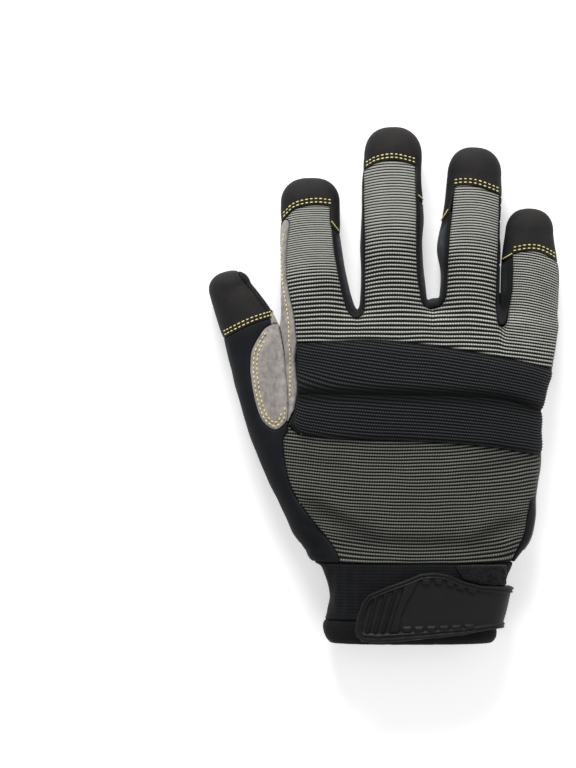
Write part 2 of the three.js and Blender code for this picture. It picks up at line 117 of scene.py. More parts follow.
CLOTH = Cloth()
HAND = HandSize()
PALM_FLOOR = CLOTH.patch + CLOTH.seam_gap
CUFF_FLOOR = 2 * CLOTH.tape + CLOTH.tape_slit + CLOTH.seam_gap
THUMB_START = 0.056
THUMB_BASE = -HAND.width_at(THUMB_START) / HAND.palm_width

# Rows of along, left, right and top, as shares of the length, the half width and the height
HAND_SIDES = (
    (0.0, -1.005, 0.995, 0.79),
    (0.088, -1.062, 1.112, 0.83),
    (0.168, -1.1, 1.13, 0.87),
    (0.268, -1.148, 1.1, 0.91),
    (0.408, -1.176, 1.094, 0.96),
    (0.528, -1.156, 1.04, 0.99),
    (0.668, -1.084, 1.032, 1.0),
    (0.764, -1.044, 1.052, 0.97),
    (0.848, -1.028, 1.06, 0.9),
    (0.93, -1.016, 1.06, 0.8),
)
CUFF_SIDES = (
    (1.12, -0.95, 0.82, 0.9),
    (1.0, -0.97, 0.84, 0.92),
    (0.93, -1.01, 0.88, 0.97),
    (0.78, -1.05, 0.89, 0.98),
    (0.6, -1.01, 0.925, 0.97),
    (0.34, -0.99, 0.985, 0.97),
    (0.12, -1.05, 1.045, 0.97),
)
# Length, width, height, lean, base, start and dome, then rows of along, left, right and top like the hand's
DIGITS: dict[str, Digit] = {
    "index": Digit("index", 78, 28, 24, -2.4, -0.738, 0.868, 0.152, (
        (0.0, -1.13, 1.23, 1.0), (0.21, -1.17, 1.27, 0.98), (0.3, -1.16, 1.15, 0.95),
        (0.424, -1.13, 1.02, 0.91), (0.675, -1.08, 0.88, 0.82), (0.848, -1.02, 0.9, 0.74),
    )),
    "middle": Digit("middle", 101.8, 28, 25, -0.5, -0.169, 0.868, 0.144, (
        (0.0, -1.2, 1.17, 1.0), (0.151, -1.14, 1.14, 0.97), (0.32, -1.07, 1.02, 0.9),
        (0.458, -1.09, 0.97, 0.86), (0.595, -1.03, 1.03, 0.82), (0.755, -1.0, 0.95, 0.76),
        (0.856, -0.92, 0.97, 0.7),
    )),
    "ring": Digit("ring", 92.3, 28, 24, 2.2, 0.397, 0.868, 0.146, (
        (0.0, -1.25, 1.05, 1.0), (0.227, -1.06, 0.94, 0.95), (0.354, -1.04, 0.93, 0.91),
        (0.495, -1.19, 0.92, 0.87), (0.621, -1.07, 0.88, 0.82), (0.732, -0.98, 0.9, 0.78),
        (0.854, -0.93, 0.84, 0.72),
    )),
    "little": Digit("little", 70.7, 25.2, 21, 3.4, 0.82, 0.808, 0.16, (
        (0.0, -1.22, 0.92, 1.0), (0.231, -1.04, 1.03, 0.96), (0.429, -1.06, 1.08, 0.9),
        (0.627, -1.09, 1.01, 0.84), (0.759, -1.05, 0.82, 0.79), (0.84, -1.0, 0.74, 0.75),
    )),
    "thumb": Digit("thumb", 135.6, 27, 25, -16.5, THUMB_BASE, THUMB_START, 0.06, (
        (0.0, -0.4, 0.7, 0.8), (0.058, -0.62, 0.83, 0.9), (0.147, -0.76, 0.97, 0.98),
        (0.31, -1.02, 1.03, 1.04), (0.42, -1.12, 1.03, 1.02), (0.62, -1.12, 0.98, 0.94),
        (0.76, -1.06, 0.91, 0.86), (0.83, -1.07, 0.79, 0.82), (0.885, -1.07, 0.6, 0.79),
        (0.94, -1.07, 0.38, 0.74),
    )),
}
FINGERS = ("index", "middle", "ring", "little")


def smoothstep(values: Array, low: float, high: float) -> Array:
    """A smooth rise from 0 at low to 1 at high."""
    share = np.clip((values - low) / (high - low), 0.0, 1.0)
    return share * share * (3 - 2 * share)


def spline(points: Sequence[Point], steps: int = 8, closed: bool = False) -> Array:
    """A smooth curve through plan points.

    Args:
        points: The points that the curve passes through.
        steps: How many short straight runs each span gets.
        closed: Whether the curve joins its own start.

    Returns:
        The curve's points, as rows of x and y.
    """
    knots = np.array(points, float)
    if closed:
        knots = np.vstack([knots[-1:], knots, knots[:2]])
    else:
        knots = np.vstack([2 * knots[0] - knots[1], knots, 2 * knots[-1] - knots[-2]])
    run = np.linspace(0, 1, steps, endpoint=False)[:, None]
    spans = []
    for before, start, end, after in zip(knots, knots[1:], knots[2:], knots[3:]):
        bend = 2 * before - 5 * start + 4 * end - after
        twist = 3 * start - before - 3 * end + after
        spans.append(0.5 * (2 * start + (end - before) * run + bend * run**2 + twist * run**3))
    if not closed:
        spans.append(knots[-2:-1])
    return np.vstack(spans)


def on_hand(points: Sequence[Point] | Array) -> Array:
    """Plan points from shares of half the local hand width and of the hand's length."""
    rows = np.array(points, float)
    return np.column_stack([rows[:, 0] * HAND.width_at(rows[:, 1]) / 2, rows[:, 1] * HAND.length])


def on_cuff(points: Sequence[Point] | Array) -> Array:
    """Plan points from shares of half the cuff width and, from the wrist seam down, of its length."""
    rows = np.array(points, float)
    return np.column_stack([rows[:, 0] * HAND.cuff_width / 2, -rows[:, 1] * HAND.cuff_length])


def on_digit(name: str, points: Sequence[Point] | Array) -> Array:
    """Plan points from shares of half a finger's width and of its length."""
    digit = DIGITS[name]
    rows = np.array(points, float)
    turn = math.radians(digit.lean)
    side = rows[:, 0] * digit.width / 2
    reach = rows[:, 1] * digit.length
    x = digit.base * HAND.palm_width / 2 + side * math.cos(turn) + reach * math.sin(turn)
    y = digit.start * HAND.length - side * math.sin(turn) + reach * math.cos(turn)
    return np.column_stack([x, y])


class Tube:
    """A rounded tube through stations, with a domed end, as a field of distances."""

    ROUND_TOP = 2.4
    ROUND_BOTTOM = 3.0
    DOME_ROUND = 2.3
    WIDEST = 0.42
    SAG = 2.5
    NEAR = 9.0

    def __init__(self, stations: Array, dome: float, origin: Point = (0.0, 0.0),
                 lean: float = 0.0) -> None:
        """Keeps the tube's stations.

        Args:
            stations: Rows of y, left, right, top and floor in the tube's own plan.
            dome: Length of the rounded end past the last station.
            origin: Plan point where the tube's axis starts.
            lean: Angle of the axis from +Y towards +X, in degrees.
        """
        self.rows = spline_rows(stations)
        self.dome = dome
        self.origin = origin
        self.turn = math.radians(lean)
        reach = np.array([self.rows[0, 0] - dome, self.rows[-1, 0] + dome])
        side = np.array([self.rows[:, 1].min(), self.rows[:, 2].max()])
        corners = [(origin[0] + a * math.cos(self.turn) + b * math.sin(self.turn),
                    origin[1] - a * math.sin(self.turn) + b * math.cos(self.turn)) for a in side for b in reach]
        self.low = np.min(corners, axis=0) - self.NEAR
        self.high = np.max(corners, axis=0) + self.NEAR

    def local(self, points: Array) -> tuple[Array, Array]:
        """Side and reach of points in the tube's own plan."""
        dx = points[:, 0] - self.origin[0]
        dy = points[:, 1] - self.origin[1]
        side = dx * math.cos(self.turn) - dy * math.sin(self.turn)
        reach = dx * math.sin(self.turn) + dy * math.cos(self.turn)
        return side, reach

    def distance(self, points: Array) -> Array:
        """Rough distance of points from the tube's surface, negative inside; far ones get NEAR."""
        near = np.all((points[:, :2] > self.low) & (points[:, :2] < self.high), axis=1)
        result = np.full(len(points), self.NEAR)
        if near.any():
            result[near] = self._distance_near(points[near])
        return result

    def _distance_near(self, points: Array) -> Array:
        """Rough distance of points near the tube, from the slope of its rounded section.

        Args:
            points: Rows of x, y and z.

        Returns:
            One distance for each point.
        """
        side, reach = self.local(points)
        z = points[:, 2]
        held = np.clip(reach, self.rows[0, 0], self.rows[-1, 0])
        left, right, top, floor = (np.interp(held, self.rows[:, 0], self.rows[:, i]) for i in range(1, 5))
        half = (right - left) / 2
        widest = floor + self.WIDEST * (top - floor)
        upper = z > widest
        height = np.where(upper, top - widest, widest - floor + self.SAG)
        power = np.where(upper, self.ROUND_TOP, self.ROUND_BOTTOM)
        a = np.abs(side - (left + right) / 2) / half
        b = np.abs(z - widest) / height
        section = np.maximum((a**power + b**power) ** (1 / power), 1e-4)
        past = np.clip((reach - self.rows[-1, 0]) / self.dome, 0, None)
        past = past + np.clip((self.rows[0, 0] - reach) / self.dome, 0, None)
        norm = np.maximum((section**self.DOME_ROUND + past**self.DOME_ROUND) ** (1 / self.DOME_ROUND), 1e-4)
        share = (section / norm) ** (self.DOME_ROUND - 1)
        slope_side = share * (a / section) ** (power - 1) / half
        slope_up = share * (b / section) ** (power - 1) / height
        slope_along = (past / norm) ** (self.DOME_ROUND - 1) / self.dome
        slope = np.sqrt(slope_side**2 + slope_up**2 + slope_along**2) + 1e-3
        return smooth_max((norm - 1) / slope, floor - z, 0.8)


def spline_rows(stations: Array, steps: int = 10) -> Array:
    """Stations made dense along a smooth curve, their first column rising.

    Args:
        stations: Rows whose first column rises.
        steps: How many rows each span gets.

    Returns:
        The dense rows.
    """
    rising = stations[:, 0]
    dense = np.unique(np.concatenate([np.linspace(a, b, steps) for a, b in zip(rising, rising[1:])]))
    slopes = np.gradient(stations, rising, axis=0)
    columns = [dense]
    for i in range(1, stations.shape[1]):
        column = stations[:, i]
        span = np.clip(np.searchsorted(rising, dense, side="right") - 1, 0, len(rising) - 2)
        width = rising[span + 1] - rising[span]
        t = (dense - rising[span]) / width
        columns.append(
            (2 * t**3 - 3 * t**2 + 1) * column[span] + (t**3 - 2 * t**2 + t) * width * slopes[span, i]
            + (3 * t**2 - 2 * t**3) * column[span + 1] + (t**3 - t**2) * width * slopes[span + 1, i])
    return np.column_stack(columns)


def smooth_min(a: Array, b: Array, reach: float) -> Array:
    """The smaller of two fields, rounded where they are within reach of each other."""
    share = np.clip(reach - np.abs(a - b), 0, None) / reach
    return np.minimum(a, b) - share * share * reach / 4


def smooth_max(a: Array, b: Array, reach: float) -> Array:
    """The larger of two fields, rounded where they are within reach of each other."""
    return -smooth_min(-a, -b, reach)


class Form:
    """The glove's whole outer form."""

    FINGER_BLEND = 5.0
    DIGIT_BLEND = 0.8
    NUB_PLACE = ((0.142, 1.022),)
    NUB_RADII = (5.0, 3.9, 4.2)
    HALVINGS = 26
    ON_SURFACE = 0.1

    def __init__(self) -> None:
        """Builds the hand's tube and those of the fingers and thumb."""
        rows = []
        half = HAND.cuff_width / 2
        for along, left, right, top in CUFF_SIDES:
            y = -along * HAND.cuff_length
            rows.append((y, left * half, right * half, top * HAND.cuff_height, CUFF_FLOOR))
        for along, left, right, top in HAND_SIDES:
            half = HAND.width_at(along) / 2
            floor = CUFF_FLOOR + (PALM_FLOOR - CUFF_FLOOR) * float(smoothstep(np.array(along), 0, 0.16))
            rows.append((along * HAND.length, left * half, right * half, top * HAND.height, floor))
        self.hand = Tube(np.array(rows), (1 - HAND_SIDES[-1][0]) * HAND.length)
        self.digits = {name: self._digit_tube(digit) for name, digit in DIGITS.items()}
        self.nub = np.append(on_hand(self.NUB_PLACE)[0], Tube.WIDEST * DIGITS["middle"].height)

    @staticmethod
    def _digit_tube(digit: Digit) -> Tube:
        """The tube of a finger or the thumb, whose underside comes down to the table."""
        rows = []
        for along, left, right, top in digit.sides:
            floor = PALM_FLOOR * (1 - float(smoothstep(np.array(along), 0.2, 0.45)))
            half = digit.width / 2
            rows.append((along * digit.length, left * half, right * half, top * digit.height, floor))
        origin = (digit.base * HAND.palm_width / 2, digit.start * HAND.length)
        return Tube(np.array(rows), digit.dome * digit.length, origin, digit.lean)

    def distance(self, points: Array) -> Array:
        """Rough distance of points from the glove's outer surface, negative inside."""
        fingers = self.digits[FINGERS[0]].distance(points)
        for name in FINGERS[1:]:
            fingers = smooth_min(fingers, self.digits[name].distance(points), self.DIGIT_BLEND)
        whole = smooth_min(self.hand.distance(points), fingers, self.FINGER_BLEND)
        nub = (np.linalg.norm((points - self.nub) / self.NUB_RADII, axis=1) - 1) * min(self.NUB_RADII)
        whole = smooth_min(whole, nub, self.DIGIT_BLEND * 2)
        return smooth_min(whole, self.digits["thumb"].distance(points), self.DIGIT_BLEND * 2)

    def normal(self, points: Array, reach: float = 0.05) -> tuple[Array, Array]:
        """Slope of the field at points.

        Args:
            points: Rows of x, y and z.
            reach: Half the distance over which the slope is taken.

        Returns:
            Unit normals, and the length of the slope before it was made a unit.
        """
        slope = np.empty_like(points)
        for axis in range(3):
            step = np.zeros(3)
            step[axis] = reach
            slope[:, axis] = (self.distance(points + step) - self.distance(points - step)) / (2 * reach)
        length = np.linalg.norm(slope, axis=1)
        return slope / np.maximum(length, 1e-6)[:, None], length

    def settle(self, points: Array, rounds: int = 3) -> tuple[Array, Array]:
        """Moves points onto the surface.

        Args:
            points: Points near the surface.
            rounds: How many steps they take.

        Returns:
            The points on the surface, and their unit normals.
        """
        for _ in range(rounds):
            normals, length = self.normal(points)
            step = np.clip(self.distance(points) / np.maximum(length, 0.3), -1.0, 1.0)
            points = points - normals * step[:, None]
        return points, self.normal(points)[0]

    def drop(self, plan: Array, from_above: bool = True) -> tuple[Array, Array]:
        """Puts plan points on the glove's upper or under side.

        Args:
            plan: Rows of x and y.
            from_above: Whether the points come down on the back, or up under the palm.

        Returns:
            The points on the surface, and their unit normals.
        """
        far = HAND.height * 1.3 if from_above else -2.0
        near = 9.0 if from_above else 6.0
        outer = np.full(len(plan), far)
        inner = np.full(len(plan), near)
        for _ in range(self.HALVINGS):
            middle = (outer + inner) / 2
            outside = self.distance(np.column_stack([plan, middle])) > 0
            outer = np.where(outside, middle, outer)
            inner = np.where(outside, inner, middle)
        points = np.column_stack([plan, (outer + inner) / 2])
        return points, self.normal(points)[0]

    def touches(self, points: Array) -> Array:
        """Whether each point lies on the surface."""
        return np.abs(self.distance(points)) < self.ON_SURFACE


# Meshing the skin


@dataclass
class Mesh:
    """Points, unit normals and triangles of an open or closed surface, in millimetres."""

    points: Array
    normals: Array
    faces: Array
    values: dict[str, Array] = field(default_factory=dict)
    SCRAP: ClassVar[int] = 60
    MERGE: ClassVar[float] = 0.02

    @property
    def edge(self) -> Array:
        """Distance of each point inside the nearest seam."""
        return self.values["edge"]

    def clipped(self, inside: Array) -> "Mesh":
        """The part of the surface where a value at its points is above 0.

        Args:
            inside: One value for each point, such as the distance inside a seam.

        Returns:
            The clipped surface, with new points where the value crosses 0, and its value kept as "edge".
        """
        near = np.abs(inside) < self.MERGE
        inside = np.where(near, self.MERGE, inside)
        kept = inside[self.faces] > 0
        count = kept.sum(axis=1)
        whole = self.faces[count == 3]
        ones = self._turned(count == 1, kept, True)
        twos = self._turned(count == 2, kept, False)
        edges = np.vstack([ones[:, [0, 1]], ones[:, [0, 2]], twos[:, [0, 1]], twos[:, [0, 2]]])
        keys, order = np.unique(np.sort(edges, axis=1), axis=0, return_inverse=True)
        order = order.ravel() + len(self.points)
        first, second = inside[keys[:, 0]], inside[keys[:, 1]]
        share = (first / (first - second))[:, None]

        def between(rows: Array) -> Array:
            """Rows of the new points, between those of each edge's ends."""
            start, end = rows[keys[:, 0]], rows[keys[:, 1]]
            at = share if rows.ndim > 1 else share[:, 0]
            return np.concatenate([rows, start + (end - start) * at])

        n, m = len(ones), len(twos)
        a, b = order[:n], order[n:2 * n]
        c, d = order[2 * n:2 * n + m], order[2 * n + m:]
        faces = np.vstack([
            whole,
            np.column_stack([ones[:, 0], a, b]),
            np.column_stack([c, twos[:, 1], twos[:, 2]]),
            np.column_stack([c, twos[:, 2], d]),
        ])
        values = {name: between(rows) for name, rows in self.values.items()}
        values["edge"] = np.concatenate([inside, np.zeros(len(keys))])
        normals = between(self.normals)
        normals /= np.maximum(np.linalg.norm(normals, axis=1), 1e-6)[:, None]
        return Mesh(between(self.points), normals, faces, values).tidied()

    def _turned(self, chosen: Array, kept: Array, lone: bool) -> Array:
        """Faces turned so that the point whose side differs from the other two comes first."""
        faces = self.faces[chosen]
        odd = np.argmax(kept[chosen] == lone, axis=1)
        rows = np.arange(len(faces))
        return np.column_stack([faces[rows, (odd + i) % 3] for i in range(3)])

    def tidied(self) -> "Mesh":
        """The pieces of the surface that are more than scraps, with doubled points merged."""
        rounded = np.round(self.points / self.MERGE).astype(np.int64)
        _, first, same = np.unique(rounded, axis=0, return_index=True, return_inverse=True)
        faces = same.ravel()[self.faces]
        real = (faces[:, 0] != faces[:, 1]) & (faces[:, 1] != faces[:, 2]) & (faces[:, 2] != faces[:, 0])
        faces = faces[real]
        label = np.arange(len(first))
        while True:
            lowest = label[faces].min(axis=1)
            fresh = label.copy()
            for corner in range(3):
                np.minimum.at(fresh, faces[:, corner], lowest)
            fresh = fresh[fresh]
            if np.array_equal(fresh, label):
                break
            label = fresh
        names, counts = np.unique(label[faces[:, 0]], return_counts=True)
        faces = faces[np.isin(label[faces[:, 0]], names[counts >= self.SCRAP])]
        used, faces = np.unique(faces, return_inverse=True)
        pick = first[used]
        values = {name: rows[pick] for name, rows in self.values.items()}
        return Mesh(self.points[pick], self.normals[pick], faces.reshape(-1, 3), values)

    def rim(self) -> Array:
        """The open edges, each in the direction of the face that it belongs to."""
        edges = np.vstack([self.faces[:, [0, 1]], self.faces[:, [1, 2]], self.faces[:, [2, 0]]])
        count = len(self.points)
        keys = edges[:, 0] * count + edges[:, 1]
        mates = edges[:, 1] * count + edges[:, 0]
        return edges[~np.isin(keys, mates)]

    def thickened(self, outer: Array | float, inner: Array | float = -CLOTH.wall,
                  corner: float = 0.35) -> "Mesh":
        """A closed sheet between two distances from this surface, its outer rim rounded.

        Args:
            outer: Distance of the outer side along the normals.
            inner: Distance of the inner side along the normals.
            corner: Radius of the rounding along the rim.

        Returns:
            The closed sheet, with this surface's values on both sides.
        """
        edge = np.clip(self.values.get("edge", np.full(len(self.points), corner)), 0, corner)
        fall = corner - np.sqrt(corner**2 - (corner - edge) ** 2)
        outside = self.points + self.normals * (outer - fall)[:, None]
        inside = self.points + self.normals * (np.broadcast_to(inner, len(self.points)))[:, None]
        count = len(self.points)
        rim = self.rim()
        faces = np.vstack([
            self.faces,
            self.faces[:, ::-1] + count,
            np.column_stack([rim[:, 1], rim[:, 0], rim[:, 0] + count]),
            np.column_stack([rim[:, 1], rim[:, 0] + count, rim[:, 1] + count]),
        ])
        values = {name: np.concatenate([rows, rows]) for name, rows in self.values.items()}
        return Mesh(np.vstack([outside, inside]), np.vstack([self.normals, -self.normals]), faces, values)


def surface_net(values: Array, lows: Array, steps: Array) -> tuple[Array, Array]:
    """Meshes the zero surface of a field on a grid, one point in each cell that it crosses.

    Args:
        values: The field at the grid's points.
        lows: Place of the grid's first point.
        steps: The grid's spacing along x, y and z.

    Returns:
        The mesh's points and its triangles.
    """
    inside = values < 0
    corners = [(i, j, k) for i in (0, 1) for j in (0, 1) for k in (0, 1)]
    size = np.array(values.shape)
    total = np.zeros(size - 1, np.int8)
    for i, j, k in corners:
        total += inside[i:size[0] - 1 + i, j:size[1] - 1 + j, k:size[2] - 1 + k]
    cells = np.argwhere((total > 0) & (total < 8))
    place = np.zeros((len(cells), 3))
    crossings = np.zeros(len(cells))
    for start in corners:
        for axis in range(3):
            if start[axis]:
                continue
            end = tuple(1 if a == axis else start[a] for a in range(3))
            low = values[tuple((cells + start).T)]
            high = values[tuple((cells + end).T)]
            crossed = (low < 0) != (high < 0)
            share = np.where(crossed, low / np.where(crossed, low - high, 1), 0)
            at = np.array(start) + share[:, None] * (np.array(end) - np.array(start))
            place += at * crossed[:, None]
            crossings += crossed
    points = lows + (cells + place / crossings[:, None]) * steps
    number = np.full(size - 1, -1)
    number[tuple(cells.T)] = np.arange(len(cells))
    quads = []
    for axis in range(3):
        b, c = (axis + 1) % 3, (axis + 2) % 3
        first = [slice(None)] * 3
        second = [slice(None)] * 3
        first[axis], second[axis] = slice(0, -1), slice(1, None)
        changed = inside[tuple(first)] != inside[tuple(second)]
        edges = np.argwhere(changed)
        edges = edges[(edges[:, b] > 0) & (edges[:, c] > 0) & (edges[:, b] < size[b] - 1)
                      & (edges[:, c] < size[c] - 1)]
        around = []
        for back_b, back_c in ((1, 1), (0, 1), (0, 0), (1, 0)):
            cell = edges.copy()
            cell[:, b] -= back_b
            cell[:, c] -= back_c
            around.append(number[tuple(cell.T)])
        quad = np.column_stack(around)
        outwards = inside[tuple(edges.T)]
        quads.append(np.where(outwards[:, None], quad, quad[:, ::-1]))
    quad = np.vstack(quads)
    return points, np.vstack([quad[:, [0, 1, 2]], quad[:, [0, 2, 3]]])


class Skin:
    """The glove's outer surface as a mesh, from which the panels are cut."""

    BLOCK = 400_000

    def __init__(self, form: Form, lows: Sequence[float], highs: Sequence[float], steps: Sequence[float],
                 panels: bool = True) -> None:
        """Meshes the form inside a box.

        Args:
            form: The glove's form.
            lows: The box's lowest corner.
            highs: The box's highest corner.
            steps: Spacing of the mesh along x, y and z.
            panels: Whether the sewn panels' borders are worked out on it.
        """
        low, high, step = (np.array(v, float) for v in (lows, highs, steps))
        axes = [np.arange(low[a], high[a] + step[a], step[a]) for a in range(3)]
        grid = np.stack(np.meshgrid(*axes, indexing="ij"), axis=-1)
        shape = grid.shape[:3]
        flat = grid.reshape(-1, 3)
        values = np.empty(len(flat), np.float32)
        for start in range(0, len(flat), self.BLOCK):
            part = slice(start, start + self.BLOCK)
            values[part] = form.distance(flat[part])
        points, faces = surface_net(values.reshape(shape), low, step)
        points, normals = form.settle(points)
        self.mesh = Mesh(points, normals, faces)
        self.pattern = Pattern(points) if panels else None

    def panel(self, name: str) -> Mesh:
        """The part of the skin inside a panel's seams."""
        return self.mesh.clipped(self.pattern.panels[name])


def inside_outline(outline: Array, points: Array, reach: float = 6.0) -> Array:
    """Distance of points inside a closed plan outline, negative outside.

    Args:
        outline: The outline's corners, as rows of x and y.
        points: The points, whose x and y are used.
        reach: How far outside distances are worked out.

    Returns:
        One distance for each point.
    """
    result = np.full(len(points), -reach)
    low, high = outline.min(axis=0) - reach, outline.max(axis=0) + reach
    near = np.all((points[:, :2] > low) & (points[:, :2] < high), axis=1)
    x, y = points[near, 0], points[near, 1]
    nearest = np.full(len(x), np.inf)
    crossed = np.zeros(len(x), bool)
    for (ax, ay), (bx, by) in zip(outline, np.roll(outline, -1, axis=0)):
        dx, dy = bx - ax, by - ay
        square = dx * dx + dy * dy
        if square < 1e-9:
            continue
        share = np.clip(((x - ax) * dx + (y - ay) * dy) / square, 0, 1)
        nearest = np.minimum(nearest, (x - ax - share * dx) ** 2 + (y - ay - share * dy) ** 2)
        if dy:
            crossed ^= ((ay > y) != (by > y)) & (x < dx * (y - ay) / dy + ax)
    result[near] = np.where(crossed, 1, -1) * np.sqrt(nearest)
    return result


def over_outline(outline: Array, points: Array, low: float) -> Array:
    """Distance of points inside a plan outline and above a height."""
    return np.minimum(inside_outline(outline, points), points[:, 2] - low)


def wobble(points: Array, pitch: float, seed: int) -> Array:
    """A soft uneven height from -1 to 1 over plan points, the same on every run.

    Args:
        points: Rows of x, y and z.
        pitch: Rough distance between its humps.
        seed: Chooses one of many such surfaces.

    Returns:
        One height for each point.
    """
    random = np.random.default_rng(seed)
    total = np.zeros(len(points))
    for _ in range(7):
        turn, phase = random.uniform(0, 2 * math.pi, 2)
        scale = 2 * math.pi / (pitch * random.uniform(0.7, 1.6))
        way = points[:, 0] * math.cos(turn) + points[:, 1] * math.sin(turn) + 0.6 * points[:, 2]
        total += np.sin(way * scale + phase)
    return total / 7


class Ribs:
    """Where a point lies in the knit: how far across, on which rib, and how close the ribs lie."""

    PITCH = 1.86
    BACK_PITCH = 1.5
    PAD_PITCH = 1.48
    BOW = 1.4
    SAG_AT = (0, 0.08, 0.2, 0.5, 1.0)
    SAG = (0.8, 3.4, 5.0, 2.2, 3.0)
    PAD_TILT = 1.5
    PAD_DIP = 13.0
    PAD_LENGTH = 0.39
    WANDER = 0.16
    TILT = 0.13
    TILT_FROM = 12.0
    TILT_OVER = 40.0
    WEB_BLEND = 5.0
    WEB_START = 0.93
    REACH = 220.0
    SAMPLES = 1200

    def __init__(self, form: Form) -> None:
        """Keeps the form whose fingers the ribs follow."""
        self.form = form
        self.web = HAND.length * self.WEB_START

    def on_fingers(self, points: Array) -> tuple[Array, Array]:
        """Places in the knit over the finger backs.

        Args:
            points: Rows of x, y and z.

        Returns:
            Rows of across, in millimetres, and of the rib number; and the closeness, from 0 to 1.
        """
        shares, rib, close, across = np.zeros((4, len(points)))
        spread = np.linspace(0, self.REACH, self.SAMPLES)
        aside = np.clip((points[:, 0] - self.TILT_FROM) / self.TILT_OVER, 0, 1.6)
        tilt = self.TILT * self.TILT_OVER * np.where(aside < 1, aside**2 / 2, aside - 0.5)
        for name in FINGERS:
            tube, digit = self.form.digits[name], DIGITS[name]
            side, reach = tube.local(points)
            base_y = digit.start * HAND.length
            free = smoothstep(points[:, 1], self.web - 6, self.web + 18)
            level = points[:, 1] + free * (base_y + reach - points[:, 1]) + tilt
            half = digit.width / 2
            level = level - free * self.BOW * (1 - np.clip(side / half, -1.3, 1.3) ** 2)
            start, end, tip_pitch = CLOSE_RIBS[name]
            tight = smoothstep(spread, base_y + start * digit.length, base_y + end * digit.length)
            table = np.cumsum(np.gradient(spread) / (self.PITCH - (self.PITCH - tip_pitch) * tight))
            share = np.exp(-((side / half) ** 2) * self.WEB_BLEND)
            shares += share
            rib += share * np.interp(level, spread, table)
            close += share * np.interp(level, spread, tight) * SMOOTH_KNIT.get(name, 1.0)
            across += share * (side + digit.base * HAND.palm_width / 2)
        rib, close, across = rib / shares, close / shares, across / shares
        rib = rib + self.WANDER * wobble(points, 15, 21)
        return np.column_stack([across, rib]), np.clip(close + 0.15 * wobble(points, 12, 22), 0, 1)

    def on_back(self, points: Array) -> Array:
        """Across distance and rib number over the back of the hand, where the ribs sag towards the wrist."""
        share = np.clip(points[:, 1] / (0.5 * HAND.length), 0, 1)
        aside = points[:, 0] / (HAND.wrist_width / 2)
        sag = np.interp(share, self.SAG_AT, self.SAG)
        tilt = -self.PAD_TILT * smoothstep(share, 0.55, 1.0) * aside
        level = points[:, 1] - sag * aside**2 + tilt
        rib = level / self.BACK_PITCH + self.WANDER * wobble(points, 18, 23)
        return np.column_stack([points[:, 0], rib])

    def on_pad(self, points: Array) -> Array:
        """Across distance and rib number over the knuckle pad, whose ribs follow its edges."""
        low, high = PAD_BOTTOM.level(points[:, 0]), PAD_TOP.level(points[:, 0])
        share = (points[:, 1] - low) / (high - low)
        aside = points[:, 0] / (HAND.palm_width / 2)
        rising = 0.35 + 0.65 * smoothstep(share, 0.35, 0.7)
        dip = self.PAD_DIP * np.clip(-aside - 0.1, 0, 1) ** 1.7 * rising
        level = share * self.PAD_LENGTH * HAND.length - dip
        return np.column_stack([points[:, 0], level / self.PAD_PITCH + self.WANDER * wobble(points, 18, 24)])


class Edge:
    """A smooth line that runs across the hand."""

    def __init__(self, points: Sequence[Point]) -> None:
        """Keeps the line through shares of half the local hand width and of the hand's length."""
        self.line = on_hand(spline(points))

    def level(self, x: Array) -> Array:
        """The line's y at each x."""
        return np.interp(x, self.line[:, 0], self.line[:, 1])


# Far enough across to leave the glove, in shares of half its width
BEYOND = 1.6

# Borders across the back of the hand
PAD_TOP = Edge((
    (-0.935, 0.872), (-0.664, 0.878), (-0.431, 0.884), (-0.198, 0.88), (0.113, 0.862), (0.427, 0.836),
    (0.75, 0.806), (1.04, 0.772), (BEYOND, 0.7),
))
PAD_MIDDLE = Edge((
    (-1.1, 0.672), (-0.968, 0.672), (-0.128, 0.668), (0.325, 0.664), (0.705, 0.65), (1.02, 0.606),
    (BEYOND, 0.55),
))
PAD_BOTTOM = Edge((
    (-1.1, 0.548), (-1.0, 0.514), (-0.85, 0.504), (-0.655, 0.496), (-0.135, 0.49), (0.213, 0.482),
    (0.563, 0.468), (0.872, 0.448), (1.06, 0.432), (BEYOND, 0.4),
))
WEB_LINE = Edge((
    (-0.93, 0.95), (-0.6, 0.955), (-0.46, 0.955), (-0.3, 0.965), (-0.1, 0.99), (0.1, 1.006),
    (0.25, 0.996), (0.45, 0.93), (0.62, 0.905), (0.8, 0.9), (1.0, 0.88), (BEYOND, 0.86),
))

# Heights of the seams round the hand and the fingers
HAND_SEAM = PALM_FLOOR + Tube.WIDEST * (HAND.height - PALM_FLOOR) * 0.9
FINGER_TOP_SEAM = Tube.WIDEST * DIGITS["middle"].height
FINGER_PALM_SEAM = 0.22 * DIGITS["middle"].height

# Borders on the fingers, as shares of half the finger's width and of its length
CAP_EDGES: dict[str, Line] = {
    "index": ((-BEYOND, 0.74), (-1.05, 0.75), (-0.6, 0.812), (0.0, 0.833), (0.5, 0.826), (0.61, 0.822)),
    "middle": ((-BEYOND, 0.79), (-0.95, 0.805), (-0.55, 0.831), (0.0, 0.842), (0.55, 0.828), (0.78, 0.818)),
    "ring": ((-0.73, 0.79), (-0.6, 0.8), (-0.1, 0.8), (0.45, 0.778), (BEYOND, 0.72)),
    "little": ((-0.76, 0.69), (-0.6, 0.699), (-0.14, 0.715), (0.43, 0.702), (BEYOND, 0.6)),
    "thumb": ((-BEYOND, 0.775), (-1.0, 0.784), (0.0, 0.8), (0.72, 0.803)),
}
CAP_LEGS: dict[str, Line] = {
    "index": ((0.6, 0.71), (0.78, 0.665), (1.25, 0.63)),
    "middle": ((0.78, 0.675), (0.98, 0.65), (1.25, 0.64)),
    "ring": ((-1.25, 0.58), (-1.13, 0.6), (-0.88, 0.66)),
    "little": ((-1.2, 0.61), (-1.12, 0.63), (-0.78, 0.672)),
    "thumb": ((0.72, 0.803), (0.52, 0.86), (0.3, 0.92), (0.1, 0.965), (0.0, 1.1)),
}

